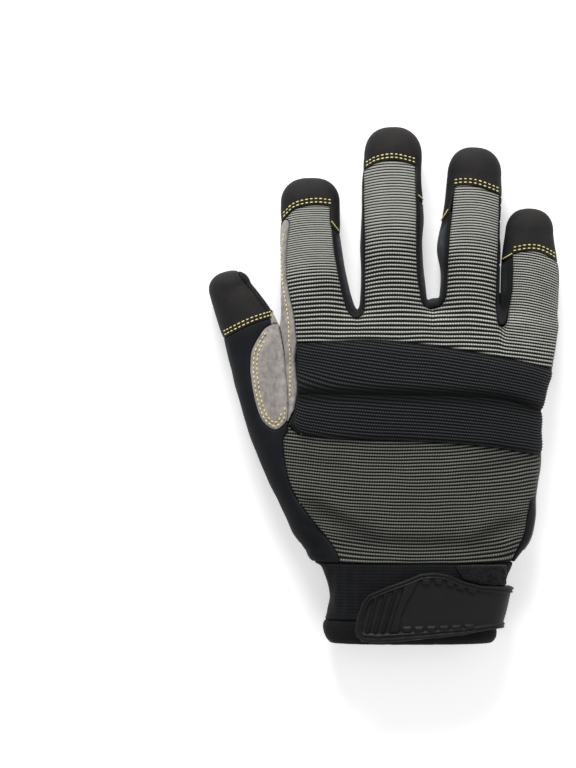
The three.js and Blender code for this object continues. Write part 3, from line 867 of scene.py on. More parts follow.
# Where the ribs start to close up, where they are closest, and their pitch there
CLOSE_RIBS: dict[str, Point3] = {
    "index": (0.32, 0.52, 1.05),
    "middle": (0.36, 0.62, 1.3),
    "ring": (0.34, 0.6, 1.22),
    "little": (-0.05, 0.3, 1.17),
}
SMOOTH_KNIT: dict[str, float] = {"ring": 0.8, "little": 0.45}

# Left and right borders of the knit on each finger
KNIT_SIDES: dict[str, tuple[Line, Line]] = {
    "index": (((-1.0, -0.1), (-1.0, 0.95)),
              ((1.06, -0.1), (1.05, 0.16), (0.865, 0.3), (0.66, 0.54), (0.6, 0.71), (0.6, 0.95))),
    "middle": (((-0.97, -0.1), (-0.97, 0.95)), ((0.9, -0.1), (0.86, 0.22), (0.77, 0.3), (0.77, 0.95))),
    "ring": (((-1.0, -0.1), (-0.87, 0.3), (-0.84, 0.55), (-0.72, 0.8), (-0.72, 0.95)),
             ((0.8, -0.1), (0.8, 0.95))),
    "little": (((-0.84, -0.1), (-0.78, 0.32), (-0.7, 0.45), (-0.72, 0.6), (-0.77, 0.7), (-0.77, 0.95)),
               ((BEYOND, -0.1), (BEYOND, 0.95))),
}
CROTCH_PATCH: Line = (
    (0.84, 0.778), (0.5, 0.776), (0.24, 0.76), (-0.21, 0.716), (-0.42, 0.668), (-0.54, 0.618),
    (-0.62, 0.542), (-0.57, 0.475), (-0.26, 0.434), (0.13, 0.444), (0.31, 0.467), (0.51, 0.533),
    (0.68, 0.618), (0.81, 0.686), (0.88, 0.755),
)
THUMB_OUTER: Line = ((0.95, 0.78), (1.3, 1.1), (-BEYOND, 1.1), (-2.2, 0.4), (-BEYOND, -0.05))

# Borders on the hand, as shares of half its local width and of its length
THUMB_BACK_EDGE: Line = (
    (-0.6, -0.01), (-0.7, 0.1), (-0.9, 0.22), (-1.0, 0.3), (-0.9, 0.45), (-0.9, 0.6), (-0.9, 0.87),
    (-0.95, 0.9), (-1.06, 0.9), (-1.08, 0.8),
)
THUMB_FRONT_EDGE: Line = (
    (-1.18, -0.01), (-1.16, 0.1), (-1.14, 0.17), (-1.08, 0.3), (-1.0, 0.45), (-1.0, 0.6), (-1.02, 0.66),
)
PALM_PATCHES: dict[str, Line] = {
    "upper_palm_patch": (
        (-0.82, 0.872), (-0.79, 0.94), (-0.66, 0.975), (-0.52, 0.97), (-0.4, 0.944), (-0.25, 0.97),
        (-0.09, 0.985), (0.05, 0.97), (0.16, 0.935), (0.3, 0.955), (0.46, 0.95), (0.6, 0.9), (0.72, 0.87),
        (0.84, 0.84), (0.86, 0.78), (0.78, 0.74), (0.3, 0.745), (-0.25, 0.765), (-0.7, 0.755),
    ),
    "heel_patch": (
        (-0.524, 0.712), (-0.6, 0.69), (-0.63, 0.648), (-0.474, 0.606), (-0.312, 0.544), (-0.109, 0.474),
        (0.04, 0.424), (0.15, 0.344), (0.238, 0.272), (0.294, 0.188), (0.339, 0.132), (0.482, 0.1),
        (0.767, 0.076), (1.3, 0.1), (1.3, 0.66), (0.78, 0.71), (0.168, 0.692),
    ),
    "thumb_base_patch": (
        (-0.86, 0.606), (-0.714, 0.624), (-0.544, 0.592), (-0.315, 0.516), (-0.146, 0.44), (-0.032, 0.368),
        (0.014, 0.308), (-0.024, 0.244), (-0.12, 0.196), (-0.325, 0.17), (-0.507, 0.182), (-0.656, 0.244),
        (-0.753, 0.344), (-0.794, 0.468), (-0.853, 0.536),
    ),
}

# Outlines on the cuff, as shares of half its width and, from the wrist seam down, of its length
TAB_OUTLINE = on_cuff((
    (-0.665, 0.654), (-0.605, 0.469), (-0.541, 0.37), (-0.345, 0.272), (-0.13, 0.185), (0.017, 0.117),
    (0.17, 0.1), (0.322, 0.123), (0.503, 0.21), (0.695, 0.265), (0.92, 0.275), (BEYOND, 0.28),
    (BEYOND, 0.76), (0.91, 0.79), (0.469, 0.864), (0.017, 0.9), (-0.435, 0.926), (-0.616, 0.914),
    (-0.678, 0.864), (-0.685, 0.8),
))
TAB_WRAP = on_cuff(((0.84, 0.3), (BEYOND, 0.3), (BEYOND, 0.76), (0.84, 0.76)))
TAB_BAND: Line = (
    (-0.315, 0.83), (-0.256, 0.58), (-0.174, 0.326), (-0.12, 0.24), (0.0, 0.2), (-0.058, 0.326),
    (-0.132, 0.471), (-0.19, 0.634), (-0.22, 0.83),
)
TAB_LOW_DASHES: Line = (
    (-0.129, 0.797), (0.003, 0.797), (0.141, 0.791), (0.277, 0.788), (0.412, 0.782), (0.55, 0.772),
)
TAB_HIGH_DASHES: Line = (
    (0.083, 0.214), (0.216, 0.209), (0.345, 0.241), (0.456, 0.277), (0.58, 0.318),
)
FASTENER_OUTLINE = on_cuff(((0.42, 0.02), (0.98, 0.02), (0.98, 0.26), (0.695, 0.245), (0.503, 0.185)))


class Pattern:
    """Where each sewn panel lies on a skin: for every point, its distance inside the panel's seams."""

    WEB_ROUND = 8.0
    DEEP = 9.0
    FAR = 99.0

    def __init__(self, points: Array) -> None:
        """Works out every panel's borders at the skin's points, all above the wrist seam."""
        self.points = points
        self.taken = -points[:, 1]
        self.panels: dict[str, Array] = {}
        for name in DIGITS:
            self._sew(f"{name}_tip", self._cap(name), FINGER_PALM_SEAM)
        self._sew("thumb_crotch_patch", on_digit("thumb", spline(CROTCH_PATCH, closed=True)), HAND_SEAM)
        self._sew("index_side_patch", self._index_strip(), FINGER_TOP_SEAM)
        pad_side = on_hand(((-0.977, 0.7), (-0.985, 0.66), (-1.03, 0.6)))
        self._sew("knuckle_pad", np.vstack([PAD_BOTTOM.line, PAD_TOP.line[::-1], pad_side]), HAND_SEAM)
        self._take("finger_backs", self._finger_backs())
        self._sew("hand_back_panel", self._hand_back(), HAND_SEAM)
        self._sew("side_binding", on_hand(((0.9, 0.0), (0.9, 0.27), (BEYOND, 0.27), (BEYOND, 0.0))), HAND_SEAM)
        for left, right in zip(FINGERS, FINGERS[1:]):
            self._sew(f"{left}_{right}_gusset", self._between(left, right), FINGER_PALM_SEAM)
        outer = on_digit("thumb", THUMB_OUTER)
        self._sew("thumb_back_panel", np.vstack([on_hand(THUMB_BACK_EDGE), outer]), HAND_SEAM)
        self._sew("thumb_front", np.vstack([on_hand(THUMB_FRONT_EDGE), outer]), -self.FAR, HAND_SEAM)
        self._take("palm_panel", np.full(len(points), self.DEEP))

    def _over(self, outline: Array, low: float = -FAR, high: float = FAR) -> Array:
        """Distance of the points inside a plan outline and two heights."""
        level = np.minimum(self.points[:, 2] - low, high - self.points[:, 2])
        return np.minimum(inside_outline(outline, self.points), level)

    def _take(self, name: str, inside: Array) -> None:
        """Gives a panel what its region keeps beside those taken before, with a seam's gap."""
        self.panels[name] = np.minimum(inside, -self.taken - CLOTH.seam_gap)
        self.taken = np.maximum(self.taken, self.panels[name])

    def _sew(self, name: str, outline: Array, low: float, high: float = FAR) -> None:
        """Gives a panel the points over a plan outline and between two heights."""
        self._take(name, self._over(outline, low, high))

    @staticmethod
    def _cap(name: str) -> Array:
        """The border of the black cap over a finger's end."""
        edge, leg = spline(CAP_EDGES[name]), np.array(CAP_LEGS[name])
        border = np.vstack([leg, edge] if leg[0][0] < 0 else [edge, leg])
        return on_digit(name, np.vstack([border, ((border[-1][0], 1.1), (border[0][0], 1.1))]))

    @staticmethod
    def _index_strip() -> Array:
        """The narrow strip up the outer side of the index finger."""
        inner = on_digit("index", spline((
            (-0.97, 0.752), (-0.85, 0.748), (-0.815, 0.72), (-0.88, 0.66), (-0.95, 0.57), (-0.99, 0.47),
            (-0.98, 0.38), (-0.91, 0.29), (-0.8, 0.17), (-0.74, 0.02),
        )))
        foot = on_hand((
            (-0.975, 0.8), (-0.985, 0.69), (-1.03, 0.61), (-1.1, 0.56), (-1.14, 0.58), (-1.12, 0.86),
        ))
        outer = on_digit("index", ((-1.5, 0.16), (-1.5, 0.6), (-1.0, 0.74)))
        return np.vstack([inner, foot, outer])

    def _finger_backs(self) -> Array:
        """The knit on the fingers' backs, joined by a band whose border is rounded at each web."""
        far = 2 * self.WEB_ROUND
        backs = inside_outline(np.vstack([PAD_TOP.line, WEB_LINE.line[::-1]]), self.points, far)
        above = inside_outline(np.vstack([PAD_TOP.line, on_hand(((BEYOND, 2.0), (-BEYOND, 2.0)))]), self.points)
        for name in FINGERS:
            left, right = KNIT_SIDES[name]
            outline = on_digit(name, np.vstack([right, left[::-1]]))
            strip = np.minimum(inside_outline(outline, self.points, far), above)
            backs = smooth_max(backs, strip, self.WEB_ROUND)
        return np.minimum(backs, self.points[:, 2] - FINGER_TOP_SEAM)

    @staticmethod
    def _hand_back() -> Array:
        """The knit on the back of the hand."""
        left = on_hand(spline((
            (-1.11, 0.52), (-1.16, 0.49), (-1.177, 0.408), (-1.171, 0.328), (-1.139, 0.268),
            (-1.058, 0.204), (-0.965, 0.144), (-0.874, 0.088), (-0.81, 0.032), (-0.77, -0.02),
        )))
        right = on_hand(spline(((0.955, -0.02), (1.0, 0.048), (1.045, 0.108), (1.055, 0.168), (1.06, 0.25))))
        end = on_hand(((BEYOND, 0.27), (BEYOND, 0.41)))
        return np.vstack([left, right, end, PAD_BOTTOM.line[::-1]])

    @staticmethod
    def _between(left: str, right: str) -> Array:
        """The strip between two fingers."""
        return np.vstack([
            on_digit(left, ((0.1, 0.0), (0.1, 0.9), (BEYOND, 0.9))),
            on_digit(right, ((-BEYOND, 0.9), (-0.1, 0.9), (-0.1, 0.0))),
        ])


@dataclass(frozen=True)
class Crease:
    """A soft fold pressed into the cloth along a short line, in millimetres of the drawn plan."""

    start: Point
    end: Point
    width: float
    depth: float

    def push(self, points: Array) -> Array:
        """How far the fold moves each point inwards."""
        a, b = np.array(self.start), np.array(self.end)
        run = b - a
        share = np.clip(((points[:, :2] - a) @ run) / (run @ run), 0, 1)
        away = np.linalg.norm(points[:, :2] - a - share[:, None] * run, axis=1)
        fade = np.sin(np.pi * np.clip(0.12 + 0.76 * share, 0, 1))
        return self.depth * fade * np.exp(-((away / self.width) ** 2))


class Wire:
    """A shader socket that can be used in plain Python arithmetic."""

    def __init__(self, bench: "Bench", socket: bpy.types.NodeSocket) -> None:
        """Keeps the socket and the bench that it was made on."""
        self.bench = bench
        self.socket = socket

    def _math(self, operation: str, *values: "Wire | float", clamp: bool = False) -> "Wire":
        """Adds a Math node over some values."""
        settings = {"operation": operation, "use_clamp": clamp}
        return self.bench.node("ShaderNodeMath", settings, dict(enumerate(values)))

    def __add__(self, other: "Wire | float") -> "Wire":
        """Sum."""
        return self._math("ADD", self, other)

    def __radd__(self, other: float) -> "Wire":
        """Sum, from the right."""
        return self._math("ADD", other, self)

    def __sub__(self, other: "Wire | float") -> "Wire":
        """Difference."""
        return self._math("SUBTRACT", self, other)

    def __rsub__(self, other: float) -> "Wire":
        """Difference, from the right."""
        return self._math("SUBTRACT", other, self)

    def __mul__(self, other: "Wire | float") -> "Wire":
        """Product."""
        return self._math("MULTIPLY", self, other)

    def __rmul__(self, other: float) -> "Wire":
        """Product, from the right."""
        return self._math("MULTIPLY", other, self)

    def __truediv__(self, other: "Wire | float") -> "Wire":
        """Quotient."""
        return self._math("DIVIDE", self, other)

    def __rtruediv__(self, other: float) -> "Wire":
        """Quotient, from the right."""
        return self._math("DIVIDE", other, self)

    def __pow__(self, power: float) -> "Wire":
        """Power."""
        return self._math("POWER", self, power)

    def sine(self) -> "Wire":
        """Sine of an angle in radians."""
        return self._math("SINE", self)

    def floor(self) -> "Wire":
        """Whole part."""
        return self._math("FLOOR", self)

    def clamped(self) -> "Wire":
        """The value held between 0 and 1."""
        return self._math("ADD", self, 0.0, clamp=True)

    def wave(self, period: float, shift: "Wire | float" = 0.0) -> "Wire":
        """A wave from 0 to 1 along this value, 1 halfway through each period."""
        turn = (self / period + shift) * (2 * math.pi) - math.pi / 2
        return turn.sine() * 0.5 + 0.5

    def ramp(self, low: float, high: float) -> "Wire":
        """A rise from 0 at low to 1 at high."""
        return ((self - low) / (high - low)).clamped()


class Bench:
    """Builds one material's nodes."""

    def __init__(self, name: str) -> None:
        """Starts a material with a surface shader.

        Args:
            name: The material's name.
        """
        self.material = bpy.data.materials.new(name)
        self.material.use_nodes = True
        self.nodes = self.material.node_tree.nodes
        self.links = self.material.node_tree.links
        self.surface = self.nodes["Principled BSDF"]

    def node(self, kind: str, settings: dict[str, object], inputs: dict[str | int, object],
             output: str | int = 0) -> Wire:
        """Adds a node.

        Args:
            kind: The node's type.
            settings: Properties of the node, set before its sockets.
            inputs: Values or wires of its sockets, by name or number.
            output: The socket that is returned.

        Returns:
            The chosen output.
        """
        made = self.nodes.new(kind)
        for name, value in settings.items():
            setattr(made, name, value)
        for name, value in inputs.items():
            self.feed(made.inputs[name], value)
        return Wire(self, made.outputs[output])

    def feed(self, socket: bpy.types.NodeSocket, value: object) -> None:
        """Links a wire to a socket, or sets the socket's own value."""
        if isinstance(value, Wire):
            self.links.new(value.socket, socket)
        elif isinstance(value, tuple) and len(value) == 3 and socket.type == "RGBA":
            socket.default_value = (*value, 1.0)
        else:
            socket.default_value = value

    def finish(self, **sockets: object) -> bpy.types.Material:
        """Feeds the surface shader and gives the material.

        Args:
            **sockets: Values or wires of the shader's sockets, with _ for each space.

        Returns:
            The finished material.
        """
        for name, value in sockets.items():
            self.feed(self.surface.inputs[name.replace("_", " ")], value)
        return self.material

    def place(self) -> Wire:
        """The point in the part's own frame, in metres."""
        return self.node("ShaderNodeTexCoord", {}, {}, "Object")

    def weave(self) -> tuple[Wire, Wire, Wire]:
        """Distance across the cloth in mm, rib number, and distance to the nearest seam in mm, lowered on some
        knit for painted shade.
        """
        vector = self.node("ShaderNodeAttribute", {"attribute_name": "weave"}, {}, "Vector")
        parts = self.nodes.new("ShaderNodeSeparateXYZ")
        self.feed(parts.inputs[0], vector)
        across, rib, edge = (Wire(self, socket) for socket in parts.outputs)
        return across, rib, edge

    def _scaled(self, pitch: float, stretch: Point3) -> Wire:
        """The point's place, counted in clouds or cells of a pitch in millimetres."""
        scale = tuple(1 / (pitch * MM * share) for share in stretch)
        return self.node("ShaderNodeVectorMath", {"operation": "MULTIPLY"}, {0: self.place(), 1: scale})

    def noise(self, pitch: float, detail: float = 3.0, rough: float = 0.55,
              stretch: Point3 = (1, 1, 1)) -> Wire:
        """Cloudy noise from about 0.3 to 0.7.

        Args:
            pitch: Size of a cloud in millimetres.
            detail: How many finer layers lie over it.
            rough: Strength of the finer layers.
            stretch: How much longer a cloud is along each axis.

        Returns:
            The noise's value.
        """
        inputs = {"Vector": self._scaled(pitch, stretch), "Scale": 1.0, "Detail": detail, "Roughness": rough}
        return self.node("ShaderNodeTexNoise", {}, inputs)

    def cells(self, pitch: float, stretch: Point3 = (1, 1, 1)) -> Wire:
        """Distance to the nearest of scattered points, for grain.

        Args:
            pitch: Distance between the points in millimetres.
            stretch: How much longer a cell is along each axis.

        Returns:
            The distance, from 0 to about 1.
        """
        inputs = {"Vector": self._scaled(pitch, stretch), "Scale": 1.0}
        return self.node("ShaderNodeTexVoronoi", {"feature": "F1"}, inputs, "Distance")

    def mix(self, share: Wire | float, first: object, second: object) -> Wire:
        """A blend of two colours.

        Args:
            share: 0 for the first colour, 1 for the second.
            first: A colour or a wire.
            second: A colour or a wire.

        Returns:
            The blended colour.
        """
        made = self.nodes.new("ShaderNodeMix")
        made.data_type = "RGBA"
        factor, first_socket, second_socket = made.inputs[0], made.inputs[6], made.inputs[7]
        self.feed(factor, share)
        self.feed(first_socket, first)
        self.feed(second_socket, second)
        return Wire(self, made.outputs[2])

    def bump(self, height: Wire, depth: float, strength: float = 1.0) -> Wire:
        """Turns a height into a shading normal.

        Args:
            height: The height, from 0 to 1.
            depth: What a height of 1 stands for, in millimetres.
            strength: How much of it is used.

        Returns:
            The normal.
        """
        inputs = {"Height": height, "Distance": depth * MM, "Strength": strength}
        return self.node("ShaderNodeBump", {}, inputs)


def srgb(red: int, green: int, blue: int) -> tuple[float, float, float]:
    """A shader colour from the usual 0 to 255 values."""
    def linear(value: int) -> float:
        """One channel's brightness."""
        share = value / 255
        return share / 12.92 if share <= 0.04045 else ((share + 0.055) / 1.055) ** 2.4
    return linear(red), linear(green), linear(blue)


Colour = tuple[float, float, float]


@dataclass(frozen=True)
class RibKnit:
    """Ribbed stretch knit: light dotted threads over grooves of painted shade, closer and duller where it is
    slack.
    """

    name: str
    thread: Colour
    dull: Colour
    groove: Colour
    dot_pitch: float = 1.15
    cover: float = 0.5
    # Seam distances over which the painted shade near the seams fades out
    shadow: Point = (-0.6, 0.9)
    bead: float = 0.45
    slant: float = 0.45
    close_cover: float = 0.32
    close_bead: float = 0.6

    def material(self) -> bpy.types.Material:
        """The knit's material."""
        bench = Bench(self.name)
        across, rib, edge = bench.weave()
        close = bench.node("ShaderNodeAttribute", {"attribute_name": "close"}, {}, "Fac")
        crest = rib.wave(1.0)
        stagger = rib.floor() * 0.5
        dots = (across + rib * self.slant).wave(self.dot_pitch, stagger)
        fibre = bench.noise(0.45, 3.0, 0.7)
        cloud = bench.noise(13.0, 2.0)
        shown = crest - (1 - self.cover) + close * self.close_cover
        beads = (dots + close * self.close_bead).ramp(0.1, 0.7)
        lit = shown.ramp(-0.1, 0.34) * (1 - self.bead + self.bead * beads)
        # Painted shade: darker near the seams, and in the folds and the pad's groove, where the seam distance
        # is lowered
        lit = lit * (0.62 + 0.6 * fibre) * (0.8 + 0.36 * cloud) * edge.ramp(*self.shadow)
        yarn = bench.mix(close, self.thread, self.dull)
        # The groove colour is painted shade in the grooves between the ribs
        base = bench.mix(lit.clamped(), self.groove, yarn)
        height = crest * 0.6 + dots * crest * 0.4 + fibre * 0.25
        return bench.finish(Base_Color=base, Roughness=0.95 - 0.15 * lit, Normal=bench.bump(height, 0.28),
                            Sheen_Weight=0.08, Sheen_Roughness=0.5, Specular_IOR_Level=0.2)


@dataclass(frozen=True)
class Leather:
    """Thin synthetic leather with a fine pebble grain, a little lighter in cloudy patches along its edges."""

    name: str
    face: Colour
    paler_face: Colour
    grain: float = 0.75
    rough: float = 0.6
    relief: float = 0.09

    def material(self) -> bpy.types.Material:
        """The leather's material."""
        bench = Bench(self.name)
        _, _, edge = bench.weave()
        pebbles = bench.cells(self.grain)
        cloud = bench.noise(9.0, 3.0)
        fine = bench.noise(0.35, 3.0, 0.6)
        # Lighter within 1.4 mm of the seams, in cloudy patches
        paler_rim = (1 - edge.ramp(0.0, 1.4)) * cloud.ramp(0.38, 0.62) * 0.55
        tone = (paler_rim + cloud.ramp(0.45, 0.72) * 0.3 + fine * 0.16).clamped()
        base = bench.mix(tone, self.face, self.paler_face)
        height = (1 - pebbles) * 0.7 + fine * 0.5
        return bench.finish(Base_Color=base, Roughness=self.rough + 0.16 * cloud - 0.1 * paler_rim,
                            Normal=bench.bump(height, self.relief), Specular_IOR_Level=0.2)


@dataclass(frozen=True)
class Suede:
    """Brushed suede: soft mottling and a short nap, with painted shade at its hem and across its middle."""

    name: str
    light: Colour
    dark: Colour
    hem_shade: float = 0.38
    middle_shade: float = 0.46

    def material(self) -> bpy.types.Material:
        """The suede's material."""
        bench = Bench(self.name)
        _, _, edge = bench.weave()
        mottle = bench.noise(2.6, 4.0, 0.62)
        nap = bench.noise(0.28, 3.0, 0.7)
        stroke = bench.noise(1.1, 2.0, 0.5, (1, 2.6, 1))
        tone = mottle.ramp(0.3, 0.7) * 0.55 + stroke.ramp(0.3, 0.7) * 0.25 + nap.ramp(0.25, 0.75) * 0.2
        # Painted shade: darker within 0.9 mm of the hem and, by middle_shade, across the middle, which leaves a
        # paler band inside the hem like a highlight
        tone = tone * (1 - self.hem_shade + self.hem_shade * edge.ramp(0.0, 0.9))
        tone = (tone * (1 - self.middle_shade * edge.ramp(2.5, 7.0))).clamped()
        base = bench.mix(tone, self.dark, self.light)
        return bench.finish(Base_Color=base, Roughness=0.96 - 0.04 * tone, Specular_IOR_Level=0.2,
                            Sheen_Weight=0.35, Sheen_Roughness=0.45,
                            Normal=bench.bump(nap * 0.6 + mottle * 0.4, 0.16))


@dataclass(frozen=True)
class Stretch:
    """Smooth woven stretch cloth with fine crossing threads, darkened with painted shade near its seams."""

    name: str
    face: Colour
    shade: Colour
    pitch: float = 0.55
    rough: float = 0.7
    rim: float = 0.0

    def material(self) -> bpy.types.Material:
        """The cloth's material."""
        bench = Bench(self.name)
        _, _, edge = bench.weave()
        place = bench.nodes.new("ShaderNodeSeparateXYZ")
        bench.feed(place.inputs[0], bench.place())
        x, y, z = (Wire(bench, socket) / MM for socket in place.outputs)
        warp = (x + 0.6 * z).wave(self.pitch)
        weft = (y + 0.4 * z).wave(self.pitch)
        threads = warp * 0.5 + weft * 0.5
        cloud = bench.noise(7.0, 3.0)
        tone = (threads * 0.4 + cloud.ramp(0.3, 0.7) * 0.6).clamped()
        # Painted shade: darker within rim millimetres of the seams
        tone = tone * edge.ramp(0.3 * self.rim, 0.01 + self.rim)
        base = bench.mix(tone, self.shade, self.face)
        return bench.finish(Base_Color=base, Roughness=self.rough + 0.12 * cloud, Sheen_Weight=0.05,
                            Normal=bench.bump(threads, 0.05), Specular_IOR_Level=0.2)


@dataclass(frozen=True)
class Elastic:
    """Knitted elastic with fine rows round the cuff, and painted shade by its seams."""

    name: str
    face: Colour
    shade: Colour
    pitch: float = 1.5

    def material(self) -> bpy.types.Material:
        """The elastic's material."""
        bench = Bench(self.name)
        across, along, edge = bench.weave()
        wander = bench.noise(6.0, 2.0)
        rows = (along + wander * 0.9).wave(self.pitch)
        ribs = across.wave(0.8 * self.pitch)
        purl = bench.noise(0.45, 3.0, 0.65, (1.8, 1, 1))
        weft = rows * 0.35 + ribs * 0.2
        tone = (weft + purl.ramp(0.3, 0.7) * 0.3 + wander.ramp(0.35, 0.65) * 0.15).clamped()
        # Painted shade: darker within 0.8 mm of the seams
        base = bench.mix(tone * (0.6 + 0.4 * edge.ramp(0.0, 0.8)), self.shade, self.face)
        height = rows * 0.5 + ribs * 0.3 + purl * 0.3
        return bench.finish(Base_Color=base, Roughness=0.92 - 0.1 * tone, Sheen_Weight=0.05,
                            Normal=bench.bump(height, 0.2), Specular_IOR_Level=0.18)


@dataclass(frozen=True)
class Rubber:
    """Moulded rubber with a faint sheen, dust in its hollows, paler within 0.8 mm of its edges, and a fine
    skin.
    """

    name: str
    face: Colour
    dusty: Colour

    def material(self) -> bpy.types.Material:
        """The rubber's material."""
        bench = Bench(self.name)
        _, raised, edge = bench.weave()
        cloud = bench.noise(5.0, 4.0, 0.6)
        skin = bench.noise(0.3, 2.0, 0.6)
        # Lighter in the hollows (dust) and within 0.8 mm of the edges
        dust_and_pale_edge = (1 - raised).clamped() * cloud.ramp(0.35, 0.75) * 0.5 + (1 - edge.ramp(0.0, 0.8)) * 0.35
        base = bench.mix((dust_and_pale_edge + skin * 0.1).clamped(), self.face, self.dusty)
        return bench.finish(Base_Color=base, Roughness=0.46 + 0.2 * cloud + 0.1 * dust_and_pale_edge,
                            Normal=bench.bump(skin, 0.05), Specular_IOR_Level=0.3)


@dataclass(frozen=True)
class Webbing:
    """Tightly woven tape with slanting threads."""

    name: str
    face: Colour
    shade: Colour
    pitch: float = 0.8

    def material(self) -> bpy.types.Material:
        """The webbing's material."""
        bench = Bench(self.name)
        across, along, _ = bench.weave()
        ends = across.wave(self.pitch)
        picks = (along + across.wave(2 * self.pitch) * 0.5).wave(self.pitch)
        threads = ends * 0.55 + picks * 0.45
        fibre = bench.noise(0.3, 2.0, 0.6)
        base = bench.mix((threads * 0.8 + fibre * 0.3).clamped(), self.shade, self.face)
        return bench.finish(Base_Color=base, Roughness=0.78 - 0.15 * threads, Sheen_Weight=0.2,
                            Normal=bench.bump(threads, 0.15), Specular_IOR_Level=0.3)


@dataclass(frozen=True)
class Thread:
    """Twisted sewing thread."""

    name: str
    face: Colour
    shade: Colour

    def material(self) -> bpy.types.Material:
        """The thread's material."""
        bench = Bench(self.name)
        strand = bench.noise(0.25, 2.0, 0.6)
        hue = bench.noise(14.0, 2.0)
        tone = (strand.ramp(0.3, 0.7) * 0.6 + hue.ramp(0.35, 0.65) * 0.3).clamped()
        base = bench.mix(tone, self.face, self.shade)
        return bench.finish(Base_Color=base, Roughness=0.62 + 0.15 * strand, Specular_IOR_Level=0.35,
                            Normal=bench.bump(strand, 0.06))


class Slot(Enum):
    """The material slots of the record."""

    GREY_KNIT = "grey_knit"
    BLACK_KNIT = "black_knit"
    BLACK_LEATHER = "black_leather"
    SLATE_STRETCH = "slate_stretch"
    GREY_SUEDE = "grey_suede"
    BLACK_ELASTIC = "black_elastic"
    BLACK_RUBBER = "black_rubber"
    RED_WEBBING = "red_webbing"
    CREAM_THREAD = "cream_thread"


@dataclass
class Finishes:
    """Every finish of the glove, each made once when first asked for."""

    # The last colour of each knit is the painted shade in its grooves
    finger_knit: RibKnit = RibKnit("finger_knit", srgb(204, 205, 195), srgb(176, 178, 170), srgb(7, 8, 8),
                                   cover=0.42, bead=0.6)
    hand_knit: RibKnit = RibKnit("hand_knit", srgb(138, 138, 130), srgb(120, 119, 112), srgb(10, 11, 11),
                                 bead=0.6)
    pad_knit: RibKnit = RibKnit("pad_knit", srgb(62, 65, 70), srgb(50, 53, 58), srgb(4, 5, 6),
                                shadow=(1.7, 5.4), bead=0.75, slant=0.1)
    tip_leather: Leather = Leather("tip_leather", srgb(28, 27, 27), srgb(52, 49, 47), rough=0.66)
    palm_leather: Leather = Leather("palm_leather", srgb(17, 17, 18), srgb(40, 39, 38), grain=0.9)
    side_leather: Leather = Leather("side_leather", srgb(15, 17, 21), srgb(32, 34, 39), grain=0.6, rough=0.74)
    suede: Suede = Suede("grey_suede_nap", srgb(186, 179, 175), srgb(112, 106, 104))
    # The slate gussets get painted shade 3 mm wide along their seams
    slate: Stretch = Stretch("slate_stretch_cloth", srgb(92, 98, 106), srgb(14, 15, 17), rim=3.0)
    edging: Stretch = Stretch("dark_edging", srgb(20, 22, 25), srgb(8, 9, 11))
    elastic: Elastic = Elastic("cuff_elastic", srgb(22, 23, 26), srgb(5, 6, 7))
    hem: Elastic = Elastic("hem_elastic", srgb(18, 19, 21), srgb(4, 5, 6), pitch=1.1)
    rubber: Rubber = Rubber("tab_rubber", srgb(5, 6, 7), srgb(17, 18, 19))
    fuzz: Suede = Suede("loop_fastener", srgb(27, 28, 31), srgb(5, 6, 7))
    webbing: Webbing = Webbing("red_tape", srgb(210, 14, 22), srgb(120, 3, 8))
    thread: Thread = Thread("cream_stitch", srgb(252, 242, 168), srgb(222, 203, 118))
    made: dict[str, bpy.types.Material] = field(default_factory=dict)

    def material(self, name: str) -> bpy.types.Material:
        """The material of a named finish."""
        if name not in self.made:
            self.made[name] = getattr(self, name).material()
        return self.made[name]


def add_object(name: str, data: bpy.types.ID) -> bpy.types.Object:
    """Makes an object and puts it in the scene."""
    made = bpy.data.objects.new(name, data)
    bpy.context.scene.collection.objects.link(made)
    return made


@dataclass
class Bed:
    """Where the pieces are made: the shift from the drawn plan to the part's frame, and the finishes."""

    shift: Array
    finishes: Finishes
    count: int = 0

    @classmethod
    def from_frame(cls) -> "Bed":
        """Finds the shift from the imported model's cuff and pull loop."""
        low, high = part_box("pull_loop")
        middle = (low.x + high.x) / 2 / MM - CLOTH.tape_place * HAND.cuff_width / 2
        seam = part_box("cuff")[1].y / MM + CLOTH.seam_gap
        return cls(np.array([middle, seam, 0.0]), Finishes())

    def mesh(self, name: str, shape: Mesh) -> bpy.types.Mesh:
        """Makes a Blender mesh, in metres and in the part's frame.

        Args:
            name: The mesh's name.
            shape: The shape in millimetres of the drawn plan.

        Returns:
            The mesh, with its "weave" and "close" attributes where the shape has them.
        """
        made = bpy.data.meshes.new(name)
        made.from_pydata(((shape.points + self.shift) * MM).tolist(), [], shape.faces.tolist())
        if "weave" in shape.values:
            layer = made.attributes.new("weave", "FLOAT_VECTOR", "POINT")
            layer.data.foreach_set("vector", shape.values["weave"].astype(np.float32).ravel())
        if "close" in shape.values:
            layer = made.attributes.new("close", "FLOAT", "POINT")
            layer.data.foreach_set("value", shape.values["close"].astype(np.float32))
        made.shade_smooth()
        return made

    def piece(self, name: str, data: Mesh | bpy.types.Mesh, finish: str, slot: Slot,
              *nodes: str) -> bpy.types.Object:
        """Adds a piece of the glove.

        Args:
            name: The piece's name.
            data: Its shape, or a finished mesh.
            finish: Name of its finish.
            slot: Not used.
            *nodes: The solids that it stands for.

        Returns:
            The piece.
        """
        mesh = self.mesh(name, data) if isinstance(data, Mesh) else data
        mesh.materials.clear()
        mesh.materials.append(self.finishes.material(finish))
        made = add_object(name, mesh)
        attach(made, "root")
        if nodes:
            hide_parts(*nodes)
        self.count += 1
        LOG.info("%s: %d faces, %s", name, len(mesh.polygons), finish)
        return made


def weave_values(shape: Mesh, rows: Array) -> None:
    """Keeps each point's place in the cloth, with its distance to the nearest seam, as "weave"."""
    shape.values["weave"] = np.column_stack([rows, shape.edge])


def rib_swell(rib: Array) -> Array:
    """Height of the ribs from -1 in a groove to 1 on a crest, rounded on top."""
    return 1 - 2 * np.abs(np.cos(np.pi * rib)) ** 2.4


